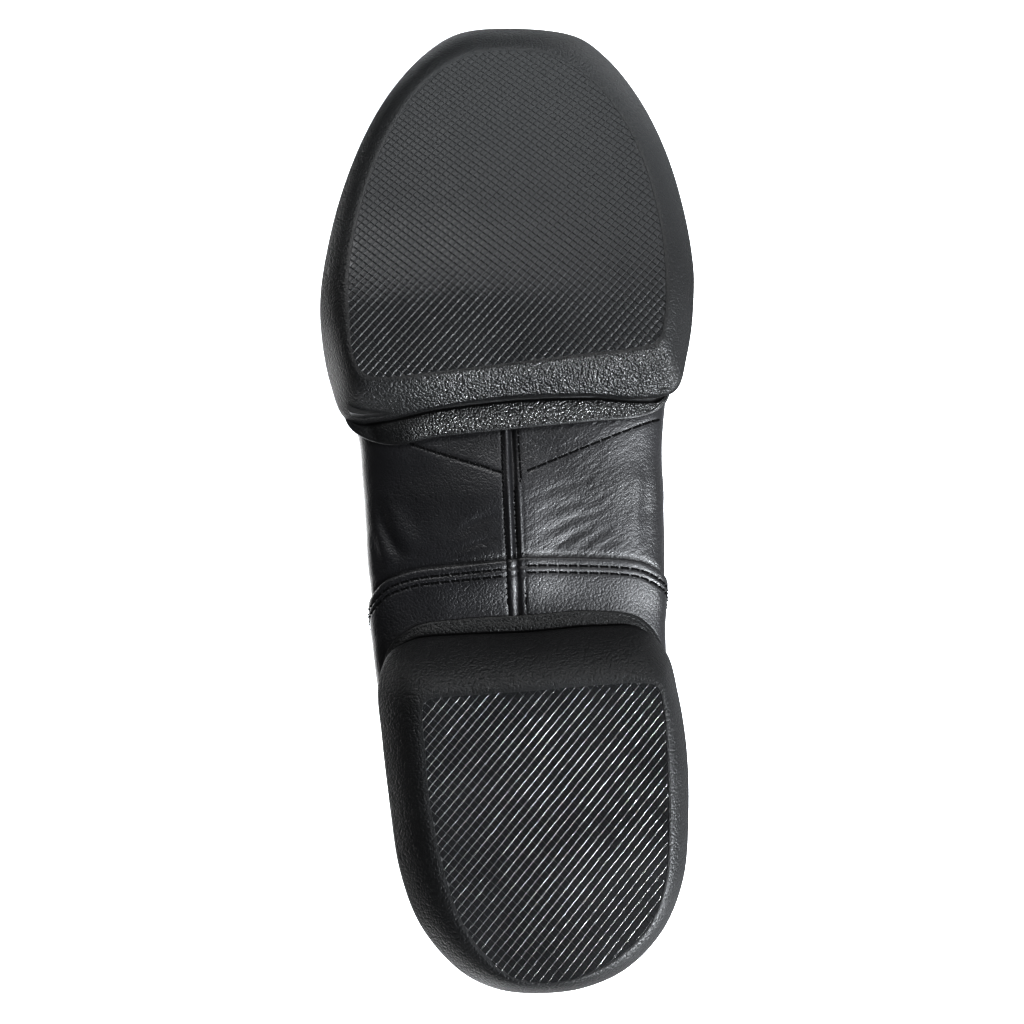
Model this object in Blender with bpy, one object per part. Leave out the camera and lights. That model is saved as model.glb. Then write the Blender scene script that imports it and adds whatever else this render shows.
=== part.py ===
"""Split-sole dance shoe for the right foot, empty, lying on its inner side.

The shoe is worked out standing: x to the outer side of the foot, y to the toe, z up from the plane of
the two treads, in millimetres. An empty then lays it down on the inner side, toe to +X, sole to -Y.
"""

import math

import bmesh
import bpy
import numpy as np
from mathutils import Matrix, Vector

# ---------------------------------------------------------------- driving sizes, mm
MM = 0.001
GAP = 0.3  # between pieces that meet
WALL = 1.6  # leather and lining of the upper

TOE_Y, HEEL_Y = 141.3, -109.6  # ends of the upper
BALL_FLAT_END = 56.0  # the forefoot tread is flat up to here
TOE_SPRING = 14.0  # rise of the tread at the toe
TOE_SPRING_Y = 146.0
SPRING_POWER = 1.5

FORE_EDGE_Z = 5.0  # widest level of the forefoot pad
FORE_TOP_Z = 6.2
HEEL_TOP_Z = 13.0
CUP_RISE = 3.2  # the layers' edge stands this far up the side of the upper
ROUND_OVER = 1.8  # power of the rim's fall from the tread to the edge

INSOLE_THICK = 2.2
MARGIN = 11.0  # lasting margin turned in under the foot
TOE_CAP_Y, HEEL_CAP_Y = 112.0, -80.0  # the rounded ends start here
TOE_BLUNT, HEEL_BLUNT = 2.6, 2.25  # power of their plan
THROAT_Y = 26.0
HEEL_LEAN = 7.0  # the back leans forward by this at the collar
TOE_TURN_UP, HEEL_TURN_UP, TOE_FALL = 4.5, 4.5, 6.0  # rounding of the ends seen from the side

# ---------------------------------------------------------------- tables, mm
# Forefoot pad: its widest edge, and the edge of the tread panel inside it, toe first, outer side first.
FORE_COLUMNS = ("edge_x", "edge_y", "tread_x", "tread_y")
FORE_ROWS = (
    (-4.0, 145.3, -4.0, 133.4),
    (10.5, 144.0, 6.5, 132.6),
    (19.5, 137.6, 14.0, 128.6),
    (28.2, 126.5, 21.3, 121.5),
    (36.0, 111.3, 29.2, 107.5),
    (43.2, 89.3, 36.3, 87.0),
    (47.6, 65.6, 40.0, 65.0),
    (48.3, 52.5, 40.5, 52.0),
    (46.4, 38.5, 40.3, 41.0),
    (42.2, 28.6, 38.2, 36.2),
    (33.0, 27.3, 31.0, 35.8),
    (17.5, 29.6, 17.0, 37.0),
    (-1.0, 31.2, -1.0, 38.6),
    (-20.0, 31.3, -19.0, 40.3),
    (-35.5, 30.5, -33.0, 41.6),
    (-43.5, 32.6, -38.5, 43.2),
    (-47.0, 42.0, -40.5, 48.5),
    (-49.5, 57.0, -41.6, 58.5),
    (-49.4, 73.5, -41.4, 74.5),
    (-45.7, 98.4, -37.6, 97.5),
    (-39.2, 118.5, -30.6, 115.0),
    (-30.6, 133.8, -22.6, 125.8),
    (-22.5, 141.6, -15.0, 131.4),
)
# Heel unit: its widest edge, the edge of its tread panel, and the level of the widest edge.
HEEL_COLUMNS = ("edge_x", "edge_y", "tread_x", "tread_y", "edge_z")
HEEL_ROWS = (
    (-3.0, -28.5, -5.0, -43.9, 12.5),
    (15.0, -28.6, 10.0, -44.5, 12.5),
    (26.0, -29.4, 20.0, -44.9, 12.0),
    (32.0, -33.0, 22.8, -46.5, 10.0),
    (34.4, -41.0, 23.1, -50.0, 7.5),
    (33.6, -53.0, 22.6, -58.0, 6.5),
    (31.8, -70.0, 21.5, -71.0, 6.5),
    (29.6, -85.0, 18.6, -85.5, 6.5),
    (24.8, -97.7, 15.2, -95.5, 6.5),
    (15.7, -108.0, 10.0, -103.5, 6.0),
    (7.0, -112.2, 4.2, -108.6, 5.5),
    (-3.0, -113.4, -3.5, -110.3, 5.5),
    (-13.0, -112.5, -11.6, -109.4, 5.5),
    (-23.0, -108.6, -20.6, -105.4, 5.5),
    (-32.0, -100.4, -28.4, -98.5, 6.0),
    (-37.6, -89.0, -32.8, -88.4, 6.5),
    (-39.9, -73.0, -34.4, -73.0, 6.5),
    (-40.3, -58.0, -34.8, -58.5, 6.5),
    (-39.2, -45.5, -34.6, -49.0, 7.5),
    (-37.2, -35.0, -33.2, -44.0, 10.0),
    (-31.5, -28.6, -28.5, -43.0, 12.0),
    (-20.0, -27.6, -18.5, -43.2, 12.5),
)
# The thin layers: how far their own edge reaches past the pad below, at the end that shows.
BASE_REACH_FORE, BASE_REACH_HEEL = 7.4, 4.2
BASE_INSET = 2.4  # their edge lies this far inside the pad elsewhere

# Sections of the upper: outer side, inner side, their level, the level of the bottom, of the top line
# that the section would close at, and the powers of its lower and upper curves.
SECTION_COLUMNS = ("y", "outer", "inner", "wide_z", "bottom_z", "top_z", "low_pow", "high_pow")
SECTION_ROWS = (
    (-112.0, 29.5, -34.0, 28.0, 16.1, 86.0, 4.2, 1.9),
    (-80.0, 30.0, -34.8, 26.5, 16.1, 86.0, 4.2, 1.9),
    (-56.0, 33.4, -36.8, 24.5, 16.1, 86.0, 4.0, 1.9),
    (-36.0, 36.1, -37.9, 23.0, 16.0, 86.0, 3.4, 1.9),
    (-22.0, 37.0, -38.2, 22.5, 15.2, 85.5, 2.9, 1.9),
    (-4.0, 37.9, -39.2, 22.5, 12.9, 83.0, 2.6, 1.9),
    (12.0, 38.7, -39.8, 22.0, 10.8, 78.0, 2.8, 2.0),
    (26.0, 40.3, -41.0, 21.5, 9.3, 71.0, 3.6, 2.1),
    (42.0, 43.3, -43.4, 21.5, 9.3, 63.0, 4.6, 2.1),
    (56.0, 44.8, -46.0, 21.5, 9.3, 57.0, 5.0, 2.2),
    (76.0, 42.6, -45.6, 22.0, 9.3, 50.0, 5.0, 2.3),
    (96.0, 37.6, -42.8, 22.5, 9.3, 44.5, 5.0, 2.3),
    (112.0, 32.2, -38.2, 23.0, 9.3, 41.0, 4.6, 2.2),
    (142.0, 30.0, -36.5, 25.5, 9.3, 38.0, 4.0, 2.1),
)
# Collar seen from the side.
COLLAR_COLUMNS = ("y", "z")
COLLAR_ROWS = ((-112.0, 70.0), (-96.0, 66.5), (-72.0, 58.5), (-46.0, 55.0), (-20.0, 57.5), (4.0, 64.5), (THROAT_Y, 71.0))

MATERIALS = {  # colour, roughness
    "leather_black": ((0.012, 0.012, 0.014), 0.38),
    "rubber_black": ((0.035, 0.037, 0.039), 0.62),
    "layer_black": ((0.022, 0.023, 0.025), 0.6),
    "sock_black": ((0.02, 0.02, 0.021), 0.85),
}
DENSITY = {"leather_black": 900.0, "rubber_black": 1000.0, "layer_black": 700.0, "sock_black": 400.0}


# ---------------------------------------------------------------- curves
def column(columns, rows, name):
    return np.array([row[columns.index(name)] for row in rows], float)


def smooth(x, xs, ys):
    """A curve through the rows with no overshoot (monotone cubic)."""
    x = np.clip(np.asarray(x, float), xs[0], xs[-1])
    h = np.diff(xs)
    d = np.diff(ys) / h
    m = np.zeros_like(ys)
    m[0], m[-1] = d[0], d[-1]
    for i in range(1, len(xs) - 1):
        if d[i - 1] * d[i] > 0:
            w1, w2 = 2 * h[i] + h[i - 1], h[i] + 2 * h[i - 1]
            m[i] = (w1 + w2) / (w1 / d[i - 1] + w2 / d[i])
    i = np.clip(np.searchsorted(xs, x, side="right") - 1, 0, len(h) - 1)
    t = (x - xs[i]) / h[i]
    return (
        (1 + 2 * t) * (1 - t) ** 2 * ys[i]
        + t * (1 - t) ** 2 * h[i] * m[i]
        + t * t * (3 - 2 * t) * ys[i + 1]
        + t * t * (t - 1) * h[i] * m[i + 1]
    )


def closed_curve(rows, count):
    """A closed curve through the rows, with all their columns, at even steps along its first two."""
    rows = np.array(rows, float)
    n = len(rows)
    fine = []
    for i in range(n):
        p0, p1, p2, p3 = rows[(i - 1) % n], rows[i], rows[(i + 1) % n], rows[(i + 2) % n]
        k = [math.sqrt(max(np.hypot(*(b - a)[:2]), 1e-6)) for a, b in ((p0, p1), (p1, p2), (p2, p3))]
        m1 = ((p1 - p0) / k[0] - (p2 - p0) / (k[0] + k[1]) + (p2 - p1) / k[1]) * k[1]
        m2 = ((p2 - p1) / k[1] - (p3 - p1) / (k[1] + k[2]) + (p3 - p2) / k[2]) * k[1]
        for t in np.arange(16) / 16:
            fine.append(
                (2 * t**3 - 3 * t**2 + 1) * p1 + (t**3 - 2 * t**2 + t) * m1 + (3 * t**2 - 2 * t**3) * p2 + (t**3 - t**2) * m2
            )
    fine = np.array(fine + [fine[0]])
    s = np.concatenate([[0], np.cumsum(np.hypot(*np.diff(fine[:, :2], axis=0).T))])
    at = np.arange(count) / count * s[-1]
    return np.stack([np.interp(at, s, fine[:, k]) for k in range(fine.shape[1])], axis=1)


def spring(y):
    t = np.clip((np.asarray(y, float) - BALL_FLAT_END) / (TOE_SPRING_Y - BALL_FLAT_END), 0, None)
    return TOE_SPRING * t**SPRING_POWER


# ---------------------------------------------------------------- the upper's own function
def section(y):
    """Sizes of the upper's section at y."""
    ys = column(SECTION_COLUMNS, SECTION_ROWS, "y")
    s = {name: smooth(y, ys, column(SECTION_COLUMNS, SECTION_ROWS, name)) for name in SECTION_COLUMNS[1:]}
    lift = spring(y)
    s["mid"] = (s["outer"] + s["inner"]) / 2
    half_out, half_in = s["outer"] - s["mid"], s["mid"] - s["inner"]
    toe = np.clip((y - TOE_CAP_Y) / (TOE_Y - TOE_CAP_Y), 0, 1)
    heel = np.clip((HEEL_CAP_Y - y) / (HEEL_CAP_Y - HEEL_Y), 0, 1)
    shrink = (1 - toe**TOE_BLUNT) ** (1 / TOE_BLUNT) * (1 - heel**HEEL_BLUNT) ** (1 / HEEL_BLUNT)
    s["half_out"], s["half_in"] = half_out * shrink, half_in * shrink
    near = 1 - np.sqrt(np.clip(1 - toe**2.2, 0, 1))
    back = 1 - np.sqrt(np.clip(1 - heel**2.5, 0, 1))
    s["bottom_z"] = s["bottom_z"] + lift + TOE_TURN_UP * near + HEEL_TURN_UP * back
    s["wide_z"] = s["wide_z"] + 0.35 * lift
    s["top_z"] = s["top_z"] - TOE_FALL * near
    s["bottom_z"] = np.minimum(s["bottom_z"], s["wide_z"] - 1.0)
    s["lean"] = heel**1.5
    s["end"] = np.maximum(near, back)
    s["collar_z"] = smooth(y, column(COLLAR_COLUMNS, COLLAR_ROWS, "y"), column(COLLAR_COLUMNS, COLLAR_ROWS, "z"))
    return s


def bottom_of_upper(x, y):
    """Level of the upper's underside at (x, y), and how much of the half width x is."""
    s = section(y)
    half = np.where(x > s["mid"], s["half_out"], s["half_in"])
    u = np.abs(x - s["mid"]) / np.maximum(half, 1e-6)
    n = s["low_pow"]
    inside = np.clip(1 - np.minimum(u, 1) ** n, 0, 1) ** (1 / n)
    return s["wide_z"] - (s["wide_z"] - s["bottom_z"]) * inside, u


def ring(y, high_steps, low_steps, in_steps):
    """One section of the upper, from its outer collar edge down, under the foot and up to the inner one."""
    s = section(y)
    c = np.clip((s["collar_z"] - s["wide_z"]) / (s["top_z"] - s["wide_z"]), 0, 1) if y < THROAT_Y else 1.0
    a_end = math.asin(c ** (s["high_pow"] / 2))
    half = min(s["half_out"], s["half_in"])
    keep = max(half - MARGIN, 0.35 * half) / max(half, 1e-6)
    b_in = math.acos(keep ** (s["low_pow"] / 2))
    a = np.linspace(a_end, 0, high_steps + 1)
    b = np.concatenate([np.linspace(0, b_in, low_steps + 1)[1:], np.linspace(b_in, math.pi / 2, in_steps + 1)[1:]])
    p = 2 / s["high_pow"]
    q = 2 / s["low_pow"]
    across = np.concatenate([np.clip(np.cos(a), 0, 1) ** p, np.clip(np.cos(b), 0, 1) ** q])
    if a_end >= math.pi / 2 - 1e-9:
        across[0] = 0.0
    across[-1] = 0.0
    z = np.concatenate(
        [
            s["wide_z"] + (s["top_z"] - s["wide_z"]) * np.sin(a) ** p,
            s["wide_z"] - (s["wide_z"] - s["bottom_z"]) * np.sin(b) ** q,
        ]
    )
    yy = y + HEEL_LEAN * s["lean"] * np.clip((z - 26) / 44, 0, 1.2) ** 1.6
    outer = np.stack([s["mid"] + s["half_out"] * across, yy, z], axis=1)
    inner = np.stack([s["mid"] - s["half_in"] * across, yy, z], axis=1)
    return np.concatenate([outer, inner[-2::-1]])


# ---------------------------------------------------------------- meshes
def material(name):
    m = bpy.data.materials.new(name)
    m.use_nodes = True
    colour, rough = MATERIALS[name]
    shader = m.node_tree.nodes["Principled BSDF"]
    shader.inputs["Base Color"].default_value = (*colour, 1)
    shader.inputs["Roughness"].default_value = rough
    shader.inputs["Metallic"].default_value = 0.0
    return m


def finish_mesh(name, bm, mat, merge=0.0):
    if merge:
        bmesh.ops.remove_doubles(bm, verts=bm.verts, dist=merge)
    bmesh.ops.triangulate(bm, faces=[f for f in bm.faces if len(f.verts) > 3])
    bmesh.ops.recalc_face_normals(bm, faces=bm.faces)
    if bm.calc_volume(signed=True) < 0:
        bmesh.ops.reverse_faces(bm, faces=bm.faces)
    mesh = bpy.data.meshes.new(name)
    bm.to_mesh(mesh)
    bm.free()
    mesh.materials.append(mat)
    mesh.shade_smooth()
    mesh.set_sharp_from_angle(angle=math.radians(40))
    obj = bpy.data.objects.new(name, mesh)
    bpy.context.scene.collection.objects.link(obj)
    return obj


def ladder(bm, loop):
    """Fills a convex loop with rungs across it, from one end in y to the other."""
    n = len(loop)
    top = max(range(n), key=lambda i: loop[i].co.y)
    low = min(range(n), key=lambda i: loop[i].co.y)
    left = [loop[(top + i) % n] for i in range((low - top) % n + 1)]
    right = [loop[(top - i) % n] for i in range((top - low) % n + 1)]
    i = j = 0
    while i < len(left) - 1 or j < len(right) - 1:
        if j == len(right) - 1 or (i < len(left) - 1 and left[i + 1].co.y >= right[j + 1].co.y):
            tri = (left[i], left[i + 1], right[j])
            i += 1
        else:
            tri = (left[i], right[j + 1], right[j])
            j += 1
        if len(set(tri)) == 3:
            bm.faces.new(tri)


def stacked(name, rings, mat):
    """A solid through closed rings of equal count, filled across at the first and the last."""
    bm = bmesh.new()
    loops = [[bm.verts.new(Vector(p) * MM) for p in points] for points in rings]
    for a, b in zip(loops, loops[1:]):
        n = len(a)
        for i in range(n):
            bm.faces.new((a[i], a[(i + 1) % n], b[(i + 1) % n], b[i]))
    ladder(bm, loops[0])
    ladder(bm, loops[-1])
    return finish_mesh(name, bm, mat)


def lifted(x, y, z):
    return np.stack([x, y, z + spring(y)], axis=1)


def pad(name, rows, count, top_z, edge_z, mat):
    """A moulded pad: flat tread panel, rim rounding over to the widest edge, short wall, top."""
    c = closed_curve(rows, count)
    edge, tread = c[:, :2], c[:, 2:4]
    edge_z = c[:, 4] if edge_z is None else np.full(count, edge_z)
    rings = []
    for f in (0.0, 0.38, 0.72, 0.92, 1.0):
        p = tread + (edge - tread) * f
        rings.append(lifted(p[:, 0], p[:, 1], edge_z * f**ROUND_OVER))
    middle = edge.mean(axis=0)
    out = (edge - middle) / np.linalg.norm(edge - middle, axis=1)[:, None]
    top = edge - 0.5 * out
    rings.append(lifted(top[:, 0], top[:, 1], np.full(count, top_z)))
    return stacked(name, rings, mat)


def base_layer(name, rows, count, low_z, reach, toward, mat):
    """A thin layer between a pad and the upper. It follows the upper above, and reaches out past the pad at one end."""
    c = closed_curve(rows, count)[:, :2]
    step = np.roll(c, -1, axis=0) - np.roll(c, 1, axis=0)
    turn = np.sign((c[:, 0] * np.roll(c[:, 1], -1) - np.roll(c[:, 0], -1) * c[:, 1]).sum())
    out = turn * np.stack([step[:, 1], -step[:, 0]], axis=1) / np.linalg.norm(step, axis=1)[:, None]
    facing = np.clip((out[:, 1] * toward - 0.15) / 0.75, 0, 1)
    facing = facing * facing * (3 - 2 * facing)
    low = c + out * (-BASE_INSET + 1.2 * facing)[:, None]
    high = c - out * BASE_INSET
    high[:, 1] += toward * (BASE_INSET + reach) * facing
    middle = c.mean(axis=0)
    rings = [lifted(low[:, 0], low[:, 1], np.full(count, low_z))]
    for f in (1.0, 0.965, 0.93, 0.89, 0.84, 0.76, 0.62, 0.4):
        p = middle + (high - middle) * f
        z, u = bottom_of_upper(p[:, 0], p[:, 1])
        s = section(p[:, 1])
        floor_z, _ = bottom_of_upper(s["mid"], p[:, 1])
        z = np.minimum(np.where(u < 1, z, 1e3), floor_z + CUP_RISE * (1 - 0.9 * facing * (f == 1.0)) * (1 - s["end"]))
        rings.append(np.stack([p[:, 0], p[:, 1], z - GAP - 0.12 * (z - floor_z) - 0.8 * s["end"]], axis=1))
    return stacked(name, rings, mat)


def upper_stations():
    ends = 9
    th = np.linspace(math.pi / 2, 0, ends + 1)
    heel = HEEL_CAP_Y + (HEEL_Y - HEEL_CAP_Y) * np.sin(th) ** (2 / HEEL_BLUNT)
    toe = TOE_CAP_Y + (TOE_Y - TOE_CAP_Y) * np.sin(th[::-1]) ** (2 / TOE_BLUNT)
    throat = THROAT_Y - np.array([13.0, 8.0, 4.5, 2.2, 0.8, 0.0])
    rear = np.linspace(HEEL_CAP_Y, throat[0], 13)[1:-1]
    front = np.linspace(THROAT_Y, TOE_CAP_Y, 12)[1:-1]
    return np.concatenate([heel, rear, throat, front, toe])


def is_open_below(y):
    return 33.0 < y < 124.0 or -98.0 < y < -33.0


def make_upper(mat):
    """The leather shell: outer skin and inner skin, joined along the collar and along the two openings below."""
    high, low, mid = 9, 5, 3
    ys = upper_stations()
    rings = np.array([ring(y, high, low, mid) for y in ys])
    n = rings.shape[1]
    bm = bmesh.new()
    v = [[bm.verts.new(Vector(p) * MM) for p in r] for r in rings]
    first, last = high + low, n - 1 - high - low
    for i in range(len(ys) - 1):
        for j in range(n - 1):
            if first <= j < last and is_open_below((ys[i] + ys[i + 1]) / 2):
                continue
            bm.faces.new((v[i][j], v[i][j + 1], v[i + 1][j + 1], v[i + 1][j]))
    bmesh.ops.remove_doubles(bm, verts=bm.verts, dist=2e-5)
    loose = [x for x in bm.verts if not x.link_faces]
    bmesh.ops.delete(bm, geom=loose, context="VERTS")
    bmesh.ops.recalc_face_normals(bm, faces=bm.faces)
    middle = Vector((0, 0, 30 * MM))
    outward = sum((f.calc_center_median() - middle).dot(f.normal) * f.calc_area() for f in bm.faces)
    if outward < 0:
        bmesh.ops.reverse_faces(bm, faces=bm.faces)
    bm.normal_update()
    skin = list(bm.verts)
    normals = {x: x.normal.copy() for x in skin}
    rim = [e for e in bm.edges if e.is_boundary]
    faces = list(bm.faces)
    inner = {x: bm.verts.new(x.co - normals[x] * WALL * MM) for x in skin}
    for f in faces:
        bm.faces.new([inner[x] for x in reversed(f.verts)])
    for e in rim:
        a, b = e.verts
        loop = e.link_loops[0]
        if loop.vert is not a:
            a, b = b, a
        bm.faces.new((b, a, inner[a], inner[b]))
    return finish_mesh("upper", bm, mat)


def make_insole(mat):
    """A thin sock lying on the inside of the bottom, from heel seat to toes."""
    ys = np.concatenate([[-101.5, -99.5, -96.0, -90.0], np.linspace(-80, 104, 20), [112.0, 120.0, 126.5, 130.5, 132.5]])
    fractions = np.array([-0.78, -0.62, -0.36, 0.0, 0.36, 0.62, 0.78])
    bm = bmesh.new()
    under, over = [], []
    for k, y in enumerate(ys):
        s = section(y)
        rows = [[], []]
        for f in fractions:
            x = s["mid"] + f * (s["half_out"] if f > 0 else s["half_in"])
            z, _ = bottom_of_upper(x, y)
            z = z + WALL * 1.3 + 0.4
            rows[0].append(bm.verts.new(Vector((x, y, z)) * MM))
            rows[1].append(bm.verts.new(Vector((x, y, z + INSOLE_THICK * (1 - 0.4 * abs(f) ** 3))) * MM))
        under.append(rows[0])
        over.append(rows[1])
    m = len(fractions)
    for i in range(len(ys) - 1):
        for j in range(m - 1):
            bm.faces.new((under[i][j], under[i + 1][j], under[i + 1][j + 1], under[i][j + 1]))
            bm.faces.new((over[i][j], over[i][j + 1], over[i + 1][j + 1], over[i + 1][j]))
        for j in (0, m - 1):
            bm.faces.new((under[i][j], over[i][j], over[i + 1][j], under[i + 1][j]))
    for i in (0, len(ys) - 1):
        for j in range(m - 1):
            bm.faces.new((under[i][j], under[i][j + 1], over[i][j + 1], over[i][j]))
    return finish_mesh("insole", bm, mat)


# ---------------------------------------------------------------- lying down
def points_and_centre(objects):
    """All corners, and the centre of mass of the solids."""
    points, mass, moment = [], 0.0, np.zeros(3)
    for obj in objects:
        mesh = obj.data
        co = np.empty(len(mesh.vertices) * 3)
        mesh.vertices.foreach_get("co", co)
        co = co.reshape(-1, 3)
        points.append(co)
        mesh.calc_loop_triangles()
        tri = np.empty(len(mesh.loop_triangles) * 3, np.int32)
        mesh.loop_triangles.foreach_get("vertices", tri)
        a, b, c = (co[tri.reshape(-1, 3)[:, k]] for k in range(3))
        volume = np.einsum("ij,ij->i", a, np.cross(b, c)) / 6
        m = volume * DENSITY[mesh.materials[0].name]
        mass += m.sum()
        moment += (m[:, None] * (a + b + c) / 4).sum(axis=0)
    return np.concatenate(points), moment / mass


def lying_pose(objects):
    """The turn and shift that lay the shoe on its inner side, on the three points that carry it there."""
    points, centre = points_and_centre(objects)
    bm = bmesh.new()
    for p in points:
        bm.verts.new(p)
    hull = bmesh.ops.convex_hull(bm, input=bm.verts, use_existing_faces=False)
    best = None
    for face in [g for g in hull["geom"] if isinstance(g, bmesh.types.BMFace)]:
        n = face.normal
        if n.dot(face.verts[0].co - Vector(centre)) < 0:
            n = -n
        if n.x > -0.8:
            continue
        corners = [Vector(x.co) for x in face.verts]
        foot = Vector(centre) + n * n.dot(corners[0] - Vector(centre))
        sides = [n.dot((b - a).cross(foot - a)) for a, b in zip(corners, corners[1:] + corners[:1])]
        if (min(sides) >= 0 or max(sides) <= 0) and (best is None or n.x < best.x):
            best = n.copy()
    bm.free()
    down = best.normalized()
    toe = (Vector((0, 1, 0)) - down * down.y).normalized()
    # rows: +X is towards the toe, +Z is away from the floor
    x_axis, z_axis = toe, -down
    turn = Matrix((x_axis, z_axis.cross(x_axis), z_axis))
    turned = points @ np.array(turn).T
    low, high = turned.min(axis=0), turned.max(axis=0)
    shift = Vector((-(low[0] + high[0]) / 2, -(low[1] + high[1]) / 2, -low[2]))
    return Matrix.Translation(shift) @ turn.to_4x4()


def main():
    for obj in list(bpy.data.objects):
        bpy.data.objects.remove(obj, do_unlink=True)
    mats = {name: material(name) for name in MATERIALS}
    shoe = bpy.data.objects.new("shoe", None)
    bpy.context.scene.collection.objects.link(shoe)
    pieces = [
        pad("outsole_forefoot", FORE_ROWS, 72, FORE_TOP_Z, FORE_EDGE_Z, mats["rubber_black"]),
        pad("outsole_heel", HEEL_ROWS, 64, HEEL_TOP_Z, None, mats["rubber_black"]),
        base_layer("midsole_forefoot", FORE_ROWS, 72, FORE_TOP_Z + GAP, BASE_REACH_FORE, -1, mats["layer_black"]),
        base_layer("midsole_heel", HEEL_ROWS, 64, HEEL_TOP_Z + GAP, BASE_REACH_HEEL, 1, mats["layer_black"]),
        make_upper(mats["leather_black"]),
        make_insole(mats["sock_black"]),
    ]
    for piece in pieces:
        piece.parent = shoe
    shoe.matrix_world = lying_pose(pieces)


main()
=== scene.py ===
"""How the split-sole dance shoe looks: leather upper with seams, stitches and creases, and moulded soles with
their tread, lying on a white sweep.

Shapes are worked out standing, as in the solids: x to the outer side of the foot, y to the toe, z up from the
plane of the treads, in millimetres. LYING then lays them on the inner side.
"""

import math

import bpy
import numpy as np
from mathutils import Matrix, Vector
from mathutils.bvhtree import BVHTree


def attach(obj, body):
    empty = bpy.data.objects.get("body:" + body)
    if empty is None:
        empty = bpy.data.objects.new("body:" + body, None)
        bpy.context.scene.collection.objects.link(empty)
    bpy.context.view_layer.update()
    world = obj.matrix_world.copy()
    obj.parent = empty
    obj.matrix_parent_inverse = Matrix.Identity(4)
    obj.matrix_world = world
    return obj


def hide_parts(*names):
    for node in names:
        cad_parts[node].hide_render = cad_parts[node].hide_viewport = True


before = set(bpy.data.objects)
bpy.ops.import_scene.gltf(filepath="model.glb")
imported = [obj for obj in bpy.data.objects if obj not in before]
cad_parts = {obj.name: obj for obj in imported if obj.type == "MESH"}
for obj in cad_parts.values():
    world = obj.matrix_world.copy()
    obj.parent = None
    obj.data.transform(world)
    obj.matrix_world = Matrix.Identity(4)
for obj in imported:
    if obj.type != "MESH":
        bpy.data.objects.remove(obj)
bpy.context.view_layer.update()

# ---------------------------------------------------------------- sizes and tables of the solids, mm
GAP = 0.3
WALL = 1.6
TOE_Y, HEEL_Y = 141.3, -109.6
BALL_FLAT_END, TOE_SPRING, TOE_SPRING_Y, SPRING_POWER = 56.0, 14.0, 146.0, 1.5
FORE_EDGE_Z, FORE_TOP_Z, HEEL_TOP_Z = 5.0, 6.2, 13.0
CUP_RISE, ROUND_OVER = 3.2, 1.8
INSOLE_THICK = 2.2
TOE_CAP_Y, HEEL_CAP_Y = 112.0, -80.0
TOE_BLUNT, HEEL_BLUNT = 2.6, 2.25
THROAT_Y = 26.0
HEEL_LEAN = 7.0
TOE_TURN_UP, HEEL_TURN_UP, TOE_FALL = 4.5, 4.5, 6.0

# Forefoot pad: widest edge, edge of the tread panel, and edge of the thin layer above where it shows.
FORE_COLUMNS = ("edge_x", "edge_y", "tread_x", "tread_y")
FORE_ROWS = (
    (-4.0, 145.3, -4.0, 133.4),
    (10.5, 144.0, 6.5, 132.6),
    (19.5, 137.6, 14.0, 128.6),
    (28.2, 126.5, 21.3, 121.5),
    (36.0, 111.3, 29.2, 107.5),
    (43.2, 89.3, 36.3, 87.0),
    (47.6, 65.6, 40.0, 65.0),
    (48.3, 52.5, 39.9, 52.0),
    (46.4, 38.5, 38.9, 42.0),
    (42.2, 28.6, 35.8, 36.9),
    (33.0, 27.3, 29.8, 36.0),
    (17.5, 29.6, 17.0, 37.0),
    (-1.0, 31.2, -1.0, 38.6),
    (-20.0, 31.3, -19.0, 40.3),
    (-35.5, 30.5, -33.0, 41.6),
    (-43.5, 32.6, -38.5, 43.2),
    (-47.0, 42.0, -40.5, 48.5),
    (-49.5, 57.0, -41.6, 58.5),
    (-49.4, 73.5, -41.4, 74.5),
    (-45.7, 98.4, -37.6, 97.5),
    (-39.2, 118.5, -30.6, 115.0),
    (-30.6, 133.8, -22.6, 125.8),
    (-22.5, 141.6, -15.0, 131.4),
)
HEEL_COLUMNS = ("edge_x", "edge_y", "tread_x", "tread_y", "edge_z")
HEEL_ROWS = (
    (-3.0, -28.5, -5.0, -43.9, 12.5),
    (15.0, -28.6, 10.0, -44.5, 12.5),
    (26.0, -29.4, 20.0, -44.9, 12.0),
    (32.0, -33.0, 22.8, -46.5, 10.0),
    (34.4, -41.0, 23.1, -50.0, 7.5),
    (33.6, -53.0, 22.6, -58.0, 6.5),
    (31.8, -70.0, 21.5, -71.0, 6.5),
    (29.6, -85.0, 18.6, -85.5, 6.5),
    (24.8, -97.7, 15.2, -95.5, 6.5),
    (15.7, -108.0, 10.0, -103.5, 6.0),
    (7.0, -112.2, 4.2, -108.6, 5.5),
    (-3.0, -113.4, -3.5, -110.3, 5.5),
    (-13.0, -112.5, -11.6, -109.4, 5.5),
    (-23.0, -108.6, -20.6, -105.4, 5.5),
    (-32.0, -100.4, -28.4, -98.5, 6.0),
    (-37.6, -89.0, -32.8, -88.4, 6.5),
    (-39.9, -73.0, -34.4, -73.0, 6.5),
    (-40.3, -58.0, -34.8, -58.5, 6.5),
    (-39.2, -45.5, -34.6, -49.0, 7.5),
    (-37.2, -35.0, -33.2, -44.0, 10.0),
    (-31.5, -28.6, -28.5, -43.0, 12.0),
    (-20.0, -27.6, -18.5, -43.2, 12.5),
)
BASE_INSET = 2.4
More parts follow.
